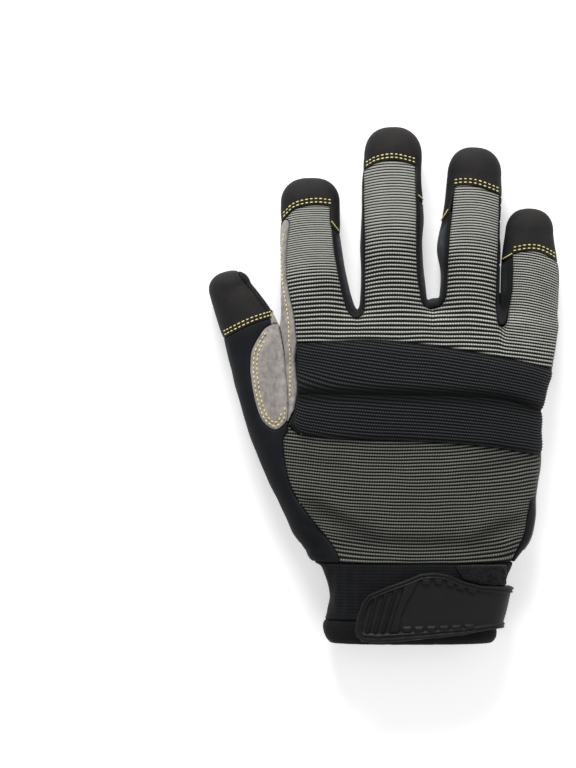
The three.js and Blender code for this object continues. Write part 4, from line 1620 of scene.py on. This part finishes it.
@dataclass
class HandBack:
    """The back of the glove: ribbed knit on fingers and hand, the padded knuckles and the side binding."""

    bed: Bed
    fine: Skin
    coarse: Skin
    ribs: Ribs
    rib_height: float = 0.24
    pad_rib_height: float = 0.26
    pad_shoulder: float = 6.5
    edge_fade: float = 1.0
    hand_folds: tuple[Crease, ...] = (
        Crease((-56, 31), (-20, 12), 3.6, 1.1),
        Crease((-34, 11), (36, 9), 3.4, 0.9),
        Crease((50, 22), (24, 11), 3.2, 0.9),
        Crease((54, 50), (20, 42), 3.6, 0.5),
        Crease((-58, 50), (-30, 44), 3.6, 0.35),
    )

    def build(self) -> None:
        """Makes every piece of the back."""
        self.fingers()
        self.knuckles()
        self.hand()
        self.side()

    def fingers(self) -> None:
        """The knit on the backs of the four fingers, in one piece down to the knuckle pad."""
        cloth = self.fine.panel("finger_backs")
        rows, close = self.ribs.on_fingers(cloth.points)
        weave_values(cloth, rows)
        cloth.values["close"] = close
        fade = smoothstep(cloth.edge, 0, self.edge_fade)
        ribbed = self.rib_height * (1 - 0.9 * close) * fade * rib_swell(rows[:, 1])
        rise = ribbed + 0.35 * wobble(cloth.points, 17, 3)
        sheet = cloth.thickened(rise)
        self.bed.piece("finger_backs_knit", sheet, "finger_knit", Slot.GREY_KNIT, "finger_backs")

    def knuckles(self) -> None:
        """The padded panel over the knuckles, in two puffy rows."""
        cloth = self.fine.panel("knuckle_pad")
        rows = self.ribs.on_pad(cloth.points)
        groove = np.abs(cloth.points[:, 1] - PAD_MIDDLE.level(cloth.points[:, 0]))
        near = np.minimum(cloth.edge, groove + 0.25)
        # Painted shadow: the third weave value is the distance to the middle groove, so the knit darkens in a
        # band along it and, less, near the seams
        cloth.values["weave"] = np.column_stack([rows, np.minimum(cloth.edge * 2 + 1, groove)])
        share = np.clip(near / self.pad_shoulder, 0, 1)
        upright = 0.35 + 0.65 * smoothstep(cloth.normals[:, 2], 0, 0.5)
        puff = CLOTH.pad_rise * np.sqrt(1 - (1 - share) ** 2) * upright
        ribbed = self.pad_rib_height * smoothstep(near, 0, self.edge_fade) * rib_swell(rows[:, 1])
        rise = puff + ribbed + 0.3 * share * wobble(cloth.points, 15, 5)
        sheet = cloth.thickened(rise, corner=0.5)
        pad = self.bed.piece("knuckle_pad_cushion", sheet, "pad_knit", Slot.BLACK_KNIT, "knuckle_pad")

    def hand(self) -> None:
        """The ribbed knit on the back of the hand, with its soft folds, which are also darkened with painted
        shade.
        """
        cloth = self.fine.panel("hand_back_panel")
        rows = self.ribs.on_back(cloth.points)
        fade = smoothstep(cloth.edge, 0, self.edge_fade)
        rise = self.rib_height * fade * rib_swell(rows[:, 1]) + 0.5 * wobble(cloth.points, 24, 8)
        folded = sum(fold.push(cloth.points) for fold in self.hand_folds)
        # Painted shade: the seam distance is lowered in the folds so that the knit's colour darkens there
        shade = np.minimum(cloth.edge, 0.9 - 0.75 * np.clip(folded, 0, 1))
        cloth.values["weave"] = np.column_stack([rows, shade])
        sheet = cloth.thickened(rise - folded)
        self.bed.piece("hand_back_knit", sheet, "hand_knit", Slot.GREY_KNIT, "hand_back_panel")

    def side(self) -> None:
        """The dark edging between the knit and the palm at the wrist."""
        cloth = self.coarse.panel("side_binding")
        weave_values(cloth, cloth.points[:, :2])
        swell = 0.7 * np.sqrt(np.clip(cloth.edge / 2.5, 0, 1))
        sheet = cloth.thickened(swell)
        self.bed.piece("side_edging", sheet, "edging", Slot.BLACK_LEATHER, "side_binding")


@dataclass
class DarkPanels:
    """The smooth dark panels: caps, gussets, thumb, palm and its finger fronts."""

    bed: Bed
    coarse: Skin
    cap_swell: float = 0.35
    thumb_folds: tuple[Crease, ...] = (
        Crease((-62, 60), (-46, 52), 2.6, 0.7),
        Crease((-58, 38), (-40, 30), 2.8, 0.8),
        Crease((-52, 18), (-38, 12), 2.4, 0.6),
    )

    def build(self) -> None:
        """Makes every dark panel."""
        for name in DIGITS:
            self.panel(f"{name}_tip", f"{name}_cap", "tip_leather", Slot.BLACK_LEATHER, self.cap_swell, 31)
        for left, right in zip(FINGERS, FINGERS[1:]):
            node = f"{left}_{right}_gusset"
            self.panel(node, f"{node}_cloth", "slate", Slot.SLATE_STRETCH, 0.15, 12)
        self.panel("thumb_back_panel", "thumb_back_cloth", "side_leather", Slot.BLACK_LEATHER, 0.3, 22,
                   self.thumb_folds)
        self.panel("thumb_front", "thumb_front_leather", "palm_leather", Slot.BLACK_LEATHER, 0.3, 25)
        self.panel("palm_panel", "palm_leather_skin", "palm_leather", Slot.BLACK_LEATHER, 0.25, 28)

    def panel(self, node: str, name: str, finish: str, slot: Slot, swell: float, seed: int,
              folds: tuple[Crease, ...] = ()) -> None:
        """Makes one dark panel.

        Args:
            node: The solid that it stands for.
            name: The piece's name.
            finish: Its finish.
            slot: Its slot in the record.
            swell: How far its face swells between its seams, in millimetres.
            seed: Chooses its unevenness.
            folds: Folds pressed into it.
        """
        cloth = self.coarse.panel(node)
        weave_values(cloth, cloth.points[:, :2])
        full = smoothstep(cloth.edge, 0, 4)
        rise = swell * full + 0.25 * full * wobble(cloth.points, 14, seed)
        for fold in folds:
            rise = rise - fold.push(cloth.points)
        rise = self.under_patches(cloth, np.minimum(rise, room_below(cloth.points, cloth.normals)))
        self.bed.piece(name, cloth.thickened(rise), finish, slot, node)

    @staticmethod
    def under_patches(cloth: Mesh, rise: Array) -> Array:
        """Presses a panel in where a suede patch lies on it.

        Args:
            cloth: The panel's surface.
            rise: How far its face would stand off the form.

        Returns:
            The rise, lower under each patch than the patch's inner side.
        """
        low = np.flatnonzero(cloth.points[:, 2] < HAND_SEAM)
        if not len(low):
            return rise
        points, normals = cloth.points[low], cloth.normals[low]
        outlines = [on_hand(spline(outline, closed=True)) for outline in PALM_PATCHES.values()]
        under = np.max([inside_outline(outline, points) for outline in outlines], axis=0)
        suede = room_below(points, normals) - SuedePatches.clear - SuedePatches.thin
        limit = np.minimum(CLOTH.seam_gap, suede) - 0.2
        pressed = rise.copy()
        pressed[low] -= smoothstep(under, -1.4, -0.2) * np.maximum(rise[low] - limit, 0)
        return pressed


def room_below(points: Array, normals: Array) -> Array:
    """How far points may move along their normals before they reach the table."""
    return points[:, 2] / np.maximum(-normals[:, 2], 0.2)


@dataclass
class SuedePatches:
    """The grey suede pieces: thumb crotch, index side, and three under the palm."""

    bed: Bed
    coarse: Skin
    channel: float = 1.5
    channel_depth: float = 0.28
    clear: float = 0.45
    thin: float = 0.4

    def build(self) -> None:
        """Makes every suede piece."""
        for place in ("thumb_crotch", "index_side"):
            node = f"{place}_patch"
            shape = self.sewn(self.coarse.panel(node), 0.25, -CLOTH.wall, 0.5)
            self.bed.piece(f"{place}_suede", shape, "suede", Slot.GREY_SUEDE, node)
        for node, outline in PALM_PATCHES.items():
            self.under(node, outline)

    def sewn(self, cloth: Mesh, outer: Array | float, inner: Array | float, swell: float) -> Mesh:
        """A patch with a sunken channel where its rows of stitches run.

        Args:
            cloth: The patch's surface.
            outer: Distance of its outer side from the form.
            inner: Distance of its inner side.
            swell: How far its middle swells.

        Returns:
            The closed patch.
        """
        weave_values(cloth, cloth.points[:, :2])
        edge = cloth.edge
        sunk = self.channel_depth * np.exp(-(((edge - self.channel - 0.8) / 1.0) ** 2))
        rise = outer + swell * smoothstep(edge, 2.0, 7.0) - sunk + 0.12 * wobble(cloth.points, 8, 41)
        return cloth.thickened(rise, inner, corner=0.45)

    def under(self, node: str, outline: Line) -> None:
        """Makes a patch on the palm's underside."""
        points = self.coarse.mesh.points
        border = inside_outline(on_hand(spline(outline, closed=True)), points)
        cloth = self.coarse.mesh.clipped(np.minimum(border, HAND_SEAM - 1.0 - points[:, 2]))
        room = room_below(cloth.points, cloth.normals) - self.clear
        inner = np.minimum(CLOTH.seam_gap, room - self.thin)
        shape = self.sewn(cloth, np.minimum(PALM_FLOOR - 0.3, room), inner, 0.15)
        self.bed.piece(f"{node}_suede", shape, "suede", Slot.GREY_SUEDE, node)


@dataclass
class Cuff:
    """The elastic cuff with its hem, the moulded tab, the fastener patch and the pull loop."""

    bed: Bed
    form: Form
    coarse: Skin
    tab_step: float = 0.38
    tab_rim: float = 2.6
    relief_height: float = 1.15
    rib_count: int = 4
    rib_width: float = 1.35
    dash_width: float = 2.5
    tape_samples: tuple[int, int, int] = (40, 13, 35)

    def build(self) -> None:
        """Makes the whole cuff."""
        self.band()
        self.tab()
        self.fastener()
        self.pull_loop()

    def band(self) -> None:
        """The gathered elastic and its rolled hem."""
        points = self.coarse.mesh.points
        seam = -HAND.cuff_length + HAND.hem_width
        upper = np.minimum(-CLOTH.seam_gap - points[:, 1], points[:, 1] - seam - CLOTH.seam_gap / 2)
        cloth = self.coarse.mesh.clipped(upper)
        weave_values(cloth, self.round_the_wrist(cloth.points))
        pleat = 0.35 * wobble(cloth.points, 9, 51) + 0.2 * np.sin(cloth.points[:, 0] * 1.3)
        shape = cloth.thickened(pleat * smoothstep(cloth.edge, 0, 5), corner=0.6)
        self.bed.piece("cuff_band", shape, "elastic", Slot.BLACK_ELASTIC, "cuff")
        lower = np.minimum(seam - CLOTH.seam_gap / 2 - points[:, 1], points[:, 1] + HAND.cuff_length)
        cloth = self.coarse.mesh.clipped(lower)
        weave_values(cloth, self.round_the_wrist(cloth.points))
        share = np.clip((seam - cloth.points[:, 1]) / HAND.hem_width, 0, 1)
        roll = CLOTH.hem_rise * np.sin(math.pi * share) ** 0.6 + 0.15 * wobble(cloth.points, 7, 52)
        shape = cloth.thickened(roll, -CLOTH.hem_wall, corner=0.9)
        self.bed.piece("cuff_hem_roll", shape, "hem", Slot.BLACK_ELASTIC, "cuff_hem")

    @staticmethod
    def round_the_wrist(points: Array) -> Array:
        """Distance round the cuff and along it."""
        middle = HAND.cuff_height / 2
        around = np.arctan2(points[:, 2] - middle, points[:, 0] / 2.2) * middle * 1.9
        return np.column_stack([around, points[:, 1]])

    def tab(self) -> None:
        """The moulded closure tab, with its raised rim, slanted ribs, divider and dashes."""
        half, length = HAND.cuff_width / 2, HAND.cuff_length
        lows = (-0.75 * half, -length, CUFF_FLOOR - 3.0)
        highs = (half * 1.15, 0.0, HAND.cuff_height + 3)
        skin = Skin(self.form, lows, highs, (self.tab_step,) * 3, panels=False)
        points = skin.mesh.points
        side = 0.5 * HAND.cuff_height
        face = over_outline(TAB_OUTLINE, points, side)
        wrap = np.minimum(over_outline(TAB_WRAP, points, -Pattern.FAR), side + 1.5 - points[:, 2])
        cloth = skin.mesh.clipped(np.maximum(face, wrap))
        raised = self.relief(cloth.points) * smoothstep(cloth.points[:, 2], side, side + 2.0)
        border = inside_outline(TAB_OUTLINE, cloth.points)
        seat = CLOTH.hem_rise + CLOTH.seam_gap
        cloth.values["weave"] = np.column_stack([cloth.points[:, 0], raised, cloth.edge])
        crown = 0.35 * smoothstep(border, 0, 9)
        rise = seat + CLOTH.tab + crown + self.relief_height * raised
        shape = cloth.thickened(rise, seat, corner=0.7)
        self.bed.piece("closure_tab_rubber", shape, "rubber", Slot.BLACK_RUBBER, "closure_tab")

    def relief(self, points: Array) -> Array:
        """Height of the tab's moulded pattern, from 0 to 1."""
        border = inside_outline(TAB_OUTLINE, points)
        rim = smoothstep(self.tab_rim - border, -0.25, 0.25)
        line = smoothstep(np.abs(border - 1.5), 0.25, 0.5)
        height = rim * (0.55 + 0.45 * line)
        width = 2 * self.rib_width / HAND.cuff_width
        for i in range(self.rib_count):
            bottom, top = -0.575 + 0.083 * i, -0.475 + 0.105 * i
            level = 0.4 - 0.044 * i
            rib = on_cuff(((bottom, 0.84), (bottom + width, 0.84), (top + width, level), (top, level)))
            height = np.maximum(height, smoothstep(inside_outline(rib, points), -0.2, 0.45))
        band = inside_outline(on_cuff(TAB_BAND), points)
        height = np.maximum(height, smoothstep(band, -0.2, 0.3) * 0.9)
        for centres, long in ((TAB_LOW_DASHES, 3.7), (TAB_HIGH_DASHES, 3.4)):
            line = on_cuff(centres)
            for centre, run in zip(line, np.gradient(line, axis=0)):
                run /= np.linalg.norm(run)
                along = np.abs((points[:, :2] - centre) @ run)
                aside = np.abs((points[:, :2] - centre) @ np.array([-run[1], run[0]]))
                block = np.minimum(long / 2 - along, self.dash_width / 2 - aside)
                height = np.maximum(height, smoothstep(block, -0.15, 0.25) * 0.9)
        return height

    def fastener(self) -> None:
        """The fuzzy loop-fastener patch beside the tab."""
        lows = (0.35 * HAND.cuff_width / 2, -12.0, 0.45 * HAND.cuff_height)
        highs = (1.1 * HAND.cuff_width / 2, 1.0, HAND.cuff_height + 3)
        skin = Skin(self.form, lows, highs, (0.5,) * 3, panels=False)
        cloth = skin.mesh.clipped(over_outline(FASTENER_OUTLINE, skin.mesh.points, 0.5 * HAND.cuff_height))
        weave_values(cloth, cloth.points[:, :2])
        random = np.random.default_rng(61)
        nap = random.uniform(-0.28, 0.3, len(cloth.points)) * smoothstep(cloth.edge, 0, 0.6)
        shape = cloth.thickened(CLOTH.seam_gap + CLOTH.loop_pad + nap, CLOTH.seam_gap, corner=0.5)
        self.bed.piece("loop_fastener_patch", shape, "fuzz", Slot.BLACK_ELASTIC, "closure_pad")

    def pull_loop(self) -> None:
        """The red tape folded back under the cuff."""
        high = CLOTH.tape + CLOTH.tape_slit / 2
        end = HAND.hem_width - HAND.cuff_length + CLOTH.seam_gap
        start = end + CLOTH.tape_length
        bend = (CLOTH.tape + CLOTH.tape_slit) / 2
        straight, round_bend, wide = self.tape_samples
        turn = np.linspace(-math.pi / 2, -1.5 * math.pi, round_bend)
        far = end + high
        arc = np.column_stack([far + bend * np.cos(turn), high + bend * np.sin(turn)])
        lower = np.column_stack([np.linspace(start, far, straight), np.full(straight, high - bend)])
        upper = np.column_stack([np.linspace(far, start, straight), np.full(straight, high + bend)])
        path = np.vstack([lower, arc[1:-1], upper])
        step = np.gradient(path, axis=0)
        step /= np.linalg.norm(step, axis=1)[:, None]
        across = np.linspace(-CLOTH.tape_width / 2, CLOTH.tape_width / 2, wide)
        x = np.tile(CLOTH.tape_place * HAND.cuff_width / 2 + across, len(path))
        along = np.concatenate([[0], np.cumsum(np.linalg.norm(np.diff(path, axis=0), axis=1))])
        points = np.column_stack([x, np.repeat(path, len(across), axis=0)])
        normals = np.column_stack([np.zeros(len(x)), np.repeat(step[:, 1], len(across)),
                                   np.repeat(-step[:, 0], len(across))])
        tile = np.arange(len(across) - 1)
        first = (np.arange(len(path) - 1)[:, None] * len(across) + tile).ravel()
        quads = np.column_stack([first, first + 1, first + len(across) + 1, first + len(across)])
        faces = np.vstack([quads[:, [0, 1, 2]], quads[:, [0, 2, 3]]])
        sides = CLOTH.tape_width / 2 - np.abs(np.tile(across, len(path)))
        run = np.repeat(along, len(across))
        edge = np.minimum(sides, np.minimum(run, along[-1] - run))
        sheet = Mesh(points, normals, faces, {"edge": edge})
        turned = np.cross(points[faces[0, 1]] - points[faces[0, 0]], points[faces[0, 2]] - points[faces[0, 0]])
        if turned @ normals[0] < 0:
            sheet.faces = faces[:, ::-1]
        sheet.values["weave"] = np.column_stack([np.tile(across, len(path)), run, edge])
        shape = sheet.thickened(CLOTH.tape / 2, -CLOTH.tape / 2, corner=0.3)
        self.bed.piece("pull_loop_tape", shape, "webbing", Slot.RED_WEBBING, "pull_loop")


@dataclass(frozen=True)
class StitchKind:
    """How a row of stitches looks, in millimetres."""

    spacing: float = 2.15
    length: float = 1.55
    thickness: float = 0.6


@dataclass
class StitchRows:
    """Rows of stitches on the glove's skin, made by one Geometry Nodes tree."""

    bed: Bed
    name: str
    kind: StitchKind = StitchKind()
    points: list[Array] = field(default_factory=list)
    normals: list[Array] = field(default_factory=list)

    def add(self, points: Array, normals: Array, lift: Array | float) -> None:
        """Adds a row.

        Args:
            points: The row's points on the skin.
            normals: The skin's normals there.
            lift: How far the row lies over the skin, in millimetres.
        """
        self.points.append(points + normals * np.reshape(lift, (-1, 1)))
        self.normals.append(normals)

    def build(self) -> None:
        """Makes every row's stitches as one plain mesh."""
        mesh = bpy.data.meshes.new(self.name)
        edges = []
        count = 0
        for row in self.points:
            edges.extend((count + i, count + i + 1) for i in range(len(row) - 1))
            count += len(row)
        points = (np.vstack(self.points) + self.bed.shift) * MM
        mesh.from_pydata(points.tolist(), edges, [])
        layer = mesh.attributes.new("skin_normal", "FLOAT_VECTOR", "POINT")
        layer.data.foreach_set("vector", np.vstack(self.normals).astype(np.float32).ravel())
        guide = add_object(f"{self.name}_guide", mesh)
        tree, sockets = stitch_tree(self.name)
        modifier = guide.modifiers.new("stitches", "NODES")
        modifier.node_group = tree
        modifier[sockets["Spacing"]] = self.kind.spacing * MM
        modifier[sockets["Length"]] = self.kind.length * MM
        modifier[sockets["Thickness"]] = self.kind.thickness * MM
        modifier[sockets["Material"]] = self.bed.finishes.material("thread")
        graph = bpy.context.evaluated_depsgraph_get()
        made = bpy.data.meshes.new_from_object(guide.evaluated_get(graph), depsgraph=graph)
        bpy.data.objects.remove(guide)
        made.name = self.name
        made.shade_smooth()
        self.bed.piece(self.name, made, "thread", Slot.CREAM_THREAD)


def stitch_tree(name: str) -> tuple[bpy.types.NodeTree, dict[str, str]]:
    """Builds the tree that lays stitches along rows of edges.

    Args:
        name: The tree's name.

    Returns:
        The tree, and the identifiers of its inputs by name.
    """
    tree = bpy.data.node_groups.new(name, "GeometryNodeTree")
    face = tree.interface
    face.new_socket("Geometry", in_out="INPUT", socket_type="NodeSocketGeometry")
    sockets = {}
    for label, kind in (("Spacing", "NodeSocketFloat"), ("Length", "NodeSocketFloat"),
                        ("Thickness", "NodeSocketFloat"), ("Material", "NodeSocketMaterial")):
        sockets[label] = face.new_socket(label, in_out="INPUT", socket_type=kind).identifier
    face.new_socket("Geometry", in_out="OUTPUT", socket_type="NodeSocketGeometry")
    start, end = tree.nodes.new("NodeGroupInput"), tree.nodes.new("NodeGroupOutput")

    def node(kind: str, **settings: object) -> bpy.types.Node:
        """Adds a node with its settings."""
        made = tree.nodes.new(kind)
        for label, value in settings.items():
            setattr(made, label, value)
        return made

    def link(source: bpy.types.Node, output: str | int, target: bpy.types.Node, entry: str | int) -> None:
        """Links an output of one node to an input of another."""
        tree.links.new(source.outputs[output], target.inputs[entry])

    curve = node("GeometryNodeMeshToCurve")
    resample = node("GeometryNodeResampleCurve", mode="LENGTH")
    link(start, "Geometry", curve, "Mesh")
    link(curve, "Curve", resample, "Curve")
    link(start, "Spacing", resample, "Length")
    ball = node("GeometryNodeMeshUVSphere")
    ball.inputs["Segments"].default_value = 7
    ball.inputs["Rings"].default_value = 6
    ball.inputs["Radius"].default_value = 0.5
    size = node("ShaderNodeCombineXYZ")
    link(start, "Length", size, "X")
    link(start, "Thickness", size, "Y")
    link(start, "Thickness", size, "Z")
    normal = node("GeometryNodeInputNamedAttribute", data_type="FLOAT_VECTOR")
    normal.inputs["Name"].default_value = "skin_normal"
    tangent = node("GeometryNodeInputTangent")
    along = node("FunctionNodeAlignRotationToVector", axis="X")
    link(tangent, 0, along, "Vector")
    up = node("FunctionNodeAlignRotationToVector", axis="Z", pivot_axis="X")
    link(along, "Rotation", up, "Rotation")
    link(normal, "Attribute", up, "Vector")
    uneven = node("FunctionNodeRandomValue", data_type="FLOAT")
    uneven.inputs["Seed"].default_value = 7
    low, high = (socket for socket in uneven.inputs if socket.name in ("Min", "Max") and socket.type == "VALUE"
                 and socket.enabled)
    low.default_value, high.default_value = 0.9, 1.08
    grown = node("ShaderNodeVectorMath", operation="SCALE")
    link(size, 0, grown, 0)
    tree.links.new(next(socket for socket in uneven.outputs if socket.enabled), grown.inputs["Scale"])
    place = node("GeometryNodeInstanceOnPoints")
    link(resample, "Curve", place, "Points")
    link(ball, "Mesh", place, "Instance")
    link(up, "Rotation", place, "Rotation")
    link(grown, "Vector", place, "Scale")
    real = node("GeometryNodeRealizeInstances")
    paint = node("GeometryNodeSetMaterial")
    link(place, "Instances", real, "Geometry")
    link(real, "Geometry", paint, "Geometry")
    link(start, "Material", paint, "Material")
    link(paint, "Geometry", end, "Geometry")
    return tree, sockets


@dataclass
class Stitching:
    """All the cream stitches and bar tacks."""

    bed: Bed
    form: Form
    row_gap: float = 1.6
    first_row: float = 1.2
    patch_rows: Point = (1.5, 3.1)
    palm_rows: Point = (1.5, 3.2)
    open_part: Point = (0.13, 0.7)
    side_margin: float = 3.5
    table_gap: float = 0.3

    def build(self) -> None:
        """Sews the caps, the suede patches, the palm patches and the bar tacks."""
        self.tips()
        self.patches()
        self.under_palm()
        self.tacks()

    def tips(self) -> None:
        """Two rows along the edge of every cap."""
        rows = StitchRows(self.bed, "tip_stitches")
        for name, edge in CAP_EDGES.items():
            low, high = TIP_ROW_ENDS[name]
            line = spline(edge, 12)
            line = line[(line[:, 0] > low) & (line[:, 0] < high)]
            for step in (self.first_row, self.first_row + self.row_gap):
                moved = line + np.array([0, step / DIGITS[name].length])
                points, normals = self.form.drop(on_digit(name, moved))
                rows.add(points, normals, 0.25)
        rows.build()

    def patches(self) -> None:
        """Double rows round the thumb crotch patch and one row along the index strip."""
        rows = StitchRows(self.bed, "patch_stitches", StitchKind(2.1, 1.55, 0.55))
        outline = on_digit("thumb", spline(CROTCH_PATCH, closed=True))
        first, last = self.open_part
        for step in self.patch_rows:
            line = inset(outline, step)
            line = line[int(first * len(line)):int(last * len(line))]
            points, normals = self.form.drop(line)
            rows.add(points, normals, 0.5)
        strip = on_digit("index", ((-0.97, 0.66), (-1.06, 0.56), (-1.08, 0.44), (-1.02, 0.3), (-0.94, 0.165)))
        lower = on_hand(((-0.985, 0.868), (-1.005, 0.768), (-1.05, 0.668)))
        points, normals = self.form.drop(spline(np.vstack([strip, lower])))
        rows.add(points, normals, 0.55)
        rows.build()

    def under_palm(self) -> None:
        """Double rows round the palm's patches."""
        rows = StitchRows(self.bed, "palm_stitches", StitchKind(2.9, 2.2, 0.6))
        lift = PALM_FLOOR - 0.25
        for outline in PALM_PATCHES.values():
            border = on_hand(spline(outline, closed=True))
            for step in self.palm_rows:
                line = inset(border, step)
                points, normals = self.form.drop(line, from_above=False)
                shown = self.form.touches(points) & (points[:, 2] < HAND_SEAM - self.side_margin)
                room = room_below(points, normals) - self.table_gap
                for run in runs_where(shown):
                    rows.add(points[run], normals[run], np.minimum(lift, room[run]))
        rows.build()

    def tacks(self) -> None:
        """Short dense bar tacks at the sides of the fingers and the thumb."""
        rows = StitchRows(self.bed, "bar_tacks", StitchKind(0.55, 1.6, 0.5))
        for name, start, end in BAR_TACKS:
            line = on_digit(name, np.linspace(start, end, 14))
            points, normals = self.form.drop(line)
            for run in runs_where(self.form.touches(points)):
                rows.add(points[run], normals[run], 0.4)
        rows.build()


def inset(outline: Array, step: float) -> Array:
    """A closed outline moved inwards, closed again.

    Args:
        outline: The outline's points in order.
        step: How far it moves, in millimetres.

    Returns:
        The moved outline, its first point repeated at the end.
    """
    run = np.roll(outline, -1, axis=0) - np.roll(outline, 1, axis=0)
    run /= np.maximum(np.linalg.norm(run, axis=1), 1e-6)[:, None]
    side = np.column_stack([run[:, 1], -run[:, 0]])
    area = np.sum(outline[:, 0] * np.roll(outline[:, 1], -1) - outline[:, 1] * np.roll(outline[:, 0], -1))
    moved = outline + side * step * (1 if area < 0 else -1)
    depth = inside_outline(outline, np.column_stack([moved, np.zeros(len(moved))]))
    kept = moved[depth > 0.85 * step]
    return np.vstack([kept, kept[:1]])


def runs_where(chosen: Array) -> list[slice]:
    """The runs of a row in which every point is chosen."""
    marks = np.flatnonzero(np.diff(np.concatenate([[0], chosen.astype(int), [0]])))
    return [slice(a, b) for a, b in zip(marks[::2], marks[1::2]) if b - a > 2]


# Where the rows on each cap start and end, in shares of half the finger's width
TIP_ROW_ENDS: dict[str, Point] = {
    "index": (-0.95, 0.57),
    "middle": (-0.85, 0.7),
    "ring": (-0.68, 0.75),
    "little": (-0.68, 0.8),
    "thumb": (-0.95, 0.8),
}

# Finger, start and end of each bar tack, in shares of half the finger's width and of its length
BAR_TACKS: tuple[tuple[str, Point, Point], ...] = (
    ("index", (0.62, 0.725), (0.8, 0.68)),
    ("middle", (0.84, 0.68), (0.98, 0.665)),
    ("ring", (-0.9, 0.672), (-1.1, 0.617)),
    ("little", (-0.79, 0.688), (-1.1, 0.65)),
    ("thumb", (0.76, 0.83), (0.88, 0.81)),
)


@dataclass(frozen=True)
class Studio:
    """The camera, the soft lights and the pale floor, in metres of the part's frame."""

    camera_at: Point3 = (-0.0449, 0.0003, 1.205)
    lens: float = 120.0
    sensor: float = 36.0
    sky: float = 0.42
    floor_half: float = 1.6
    floor_drop: float = 0.0006
    floor_glow: float = 0.45

    def build(self) -> None:
        """Sets up the view."""
        scene = bpy.context.scene
        camera = add_object("photo_camera", bpy.data.cameras.new("photo_camera"))
        camera.data.lens = self.lens
        camera.data.sensor_width = self.sensor
        camera.location = self.camera_at
        scene.camera = camera
        self.light("key_light", (-0.15, 1.15, 0.62), 0.5, 17.0)
        self.light("fill_light", (0.8, 0.0, 0.8), 0.8, 2.2)
        self.light("low_light", (-0.7, -0.6, 0.7), 0.8, 1.8)
        world = bpy.data.worlds.new("studio")
        world.use_nodes = True
        glow = world.node_tree.nodes["Background"].inputs
        glow["Color"].default_value = (1.0, 1.0, 1.0, 1.0)
        glow["Strength"].default_value = self.sky
        scene.view_settings.view_transform = "Standard"
        scene.world = world
        self.floor()

    def light(self, name: str, place: Point3, size: float, power: float) -> None:
        """Adds a soft light that faces the glove."""
        data = bpy.data.lights.new(name, "AREA")
        data.energy = power
        data.size = size
        lamp = add_object(name, data)
        lamp.location = place
        lamp.rotation_euler = (-Vector(place)).to_track_quat("-Z", "Y").to_euler()

    def floor(self) -> None:
        """The pale floor just under the glove."""
        half, below = self.floor_half, -self.floor_drop
        mesh = bpy.data.meshes.new("studio_floor")
        corners = [(-half, -half, below), (half, -half, below), (half, half, below), (-half, half, below)]
        mesh.from_pydata(corners, [], [(0, 1, 2, 3)])
        bench = Bench("studio_paper")
        tone = bench.noise(90.0, 2.0)
        paper = bench.mix(tone, (0.9, 0.9, 0.9), (0.94, 0.94, 0.94))
        mesh.materials.append(bench.finish(Base_Color=paper, Roughness=0.9, Specular_IOR_Level=0.1,
                                           Emission_Color=paper, Emission_Strength=self.floor_glow))
        add_object("studio_floor", mesh)


def main() -> None:
    """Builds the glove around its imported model."""
    logging.basicConfig(level=logging.INFO, format="%(name)s: %(message)s")
    bed = Bed.from_frame()
    form = Form()
    half = HAND.palm_width / 2 + 16
    top = HAND.height + 4
    reach = HAND.length + 90
    fine = Skin(form, (-half, -2.0, FINGER_TOP_SEAM - 1.5), (half, reach, top), (0.9, 0.36, 0.9))
    coarse = Skin(form, (-half - 24, -HAND.cuff_length - 4, -2.0), (half, reach, top), (0.95, 0.95, 0.95))
    HandBack(bed, fine, coarse, Ribs(form)).build()
    DarkPanels(bed, coarse).build()
    SuedePatches(bed, coarse).build()
    Cuff(bed, form, coarse).build()
    Stitching(bed, form).build()
    Studio().build()


if __name__ == "__main__":
    main()
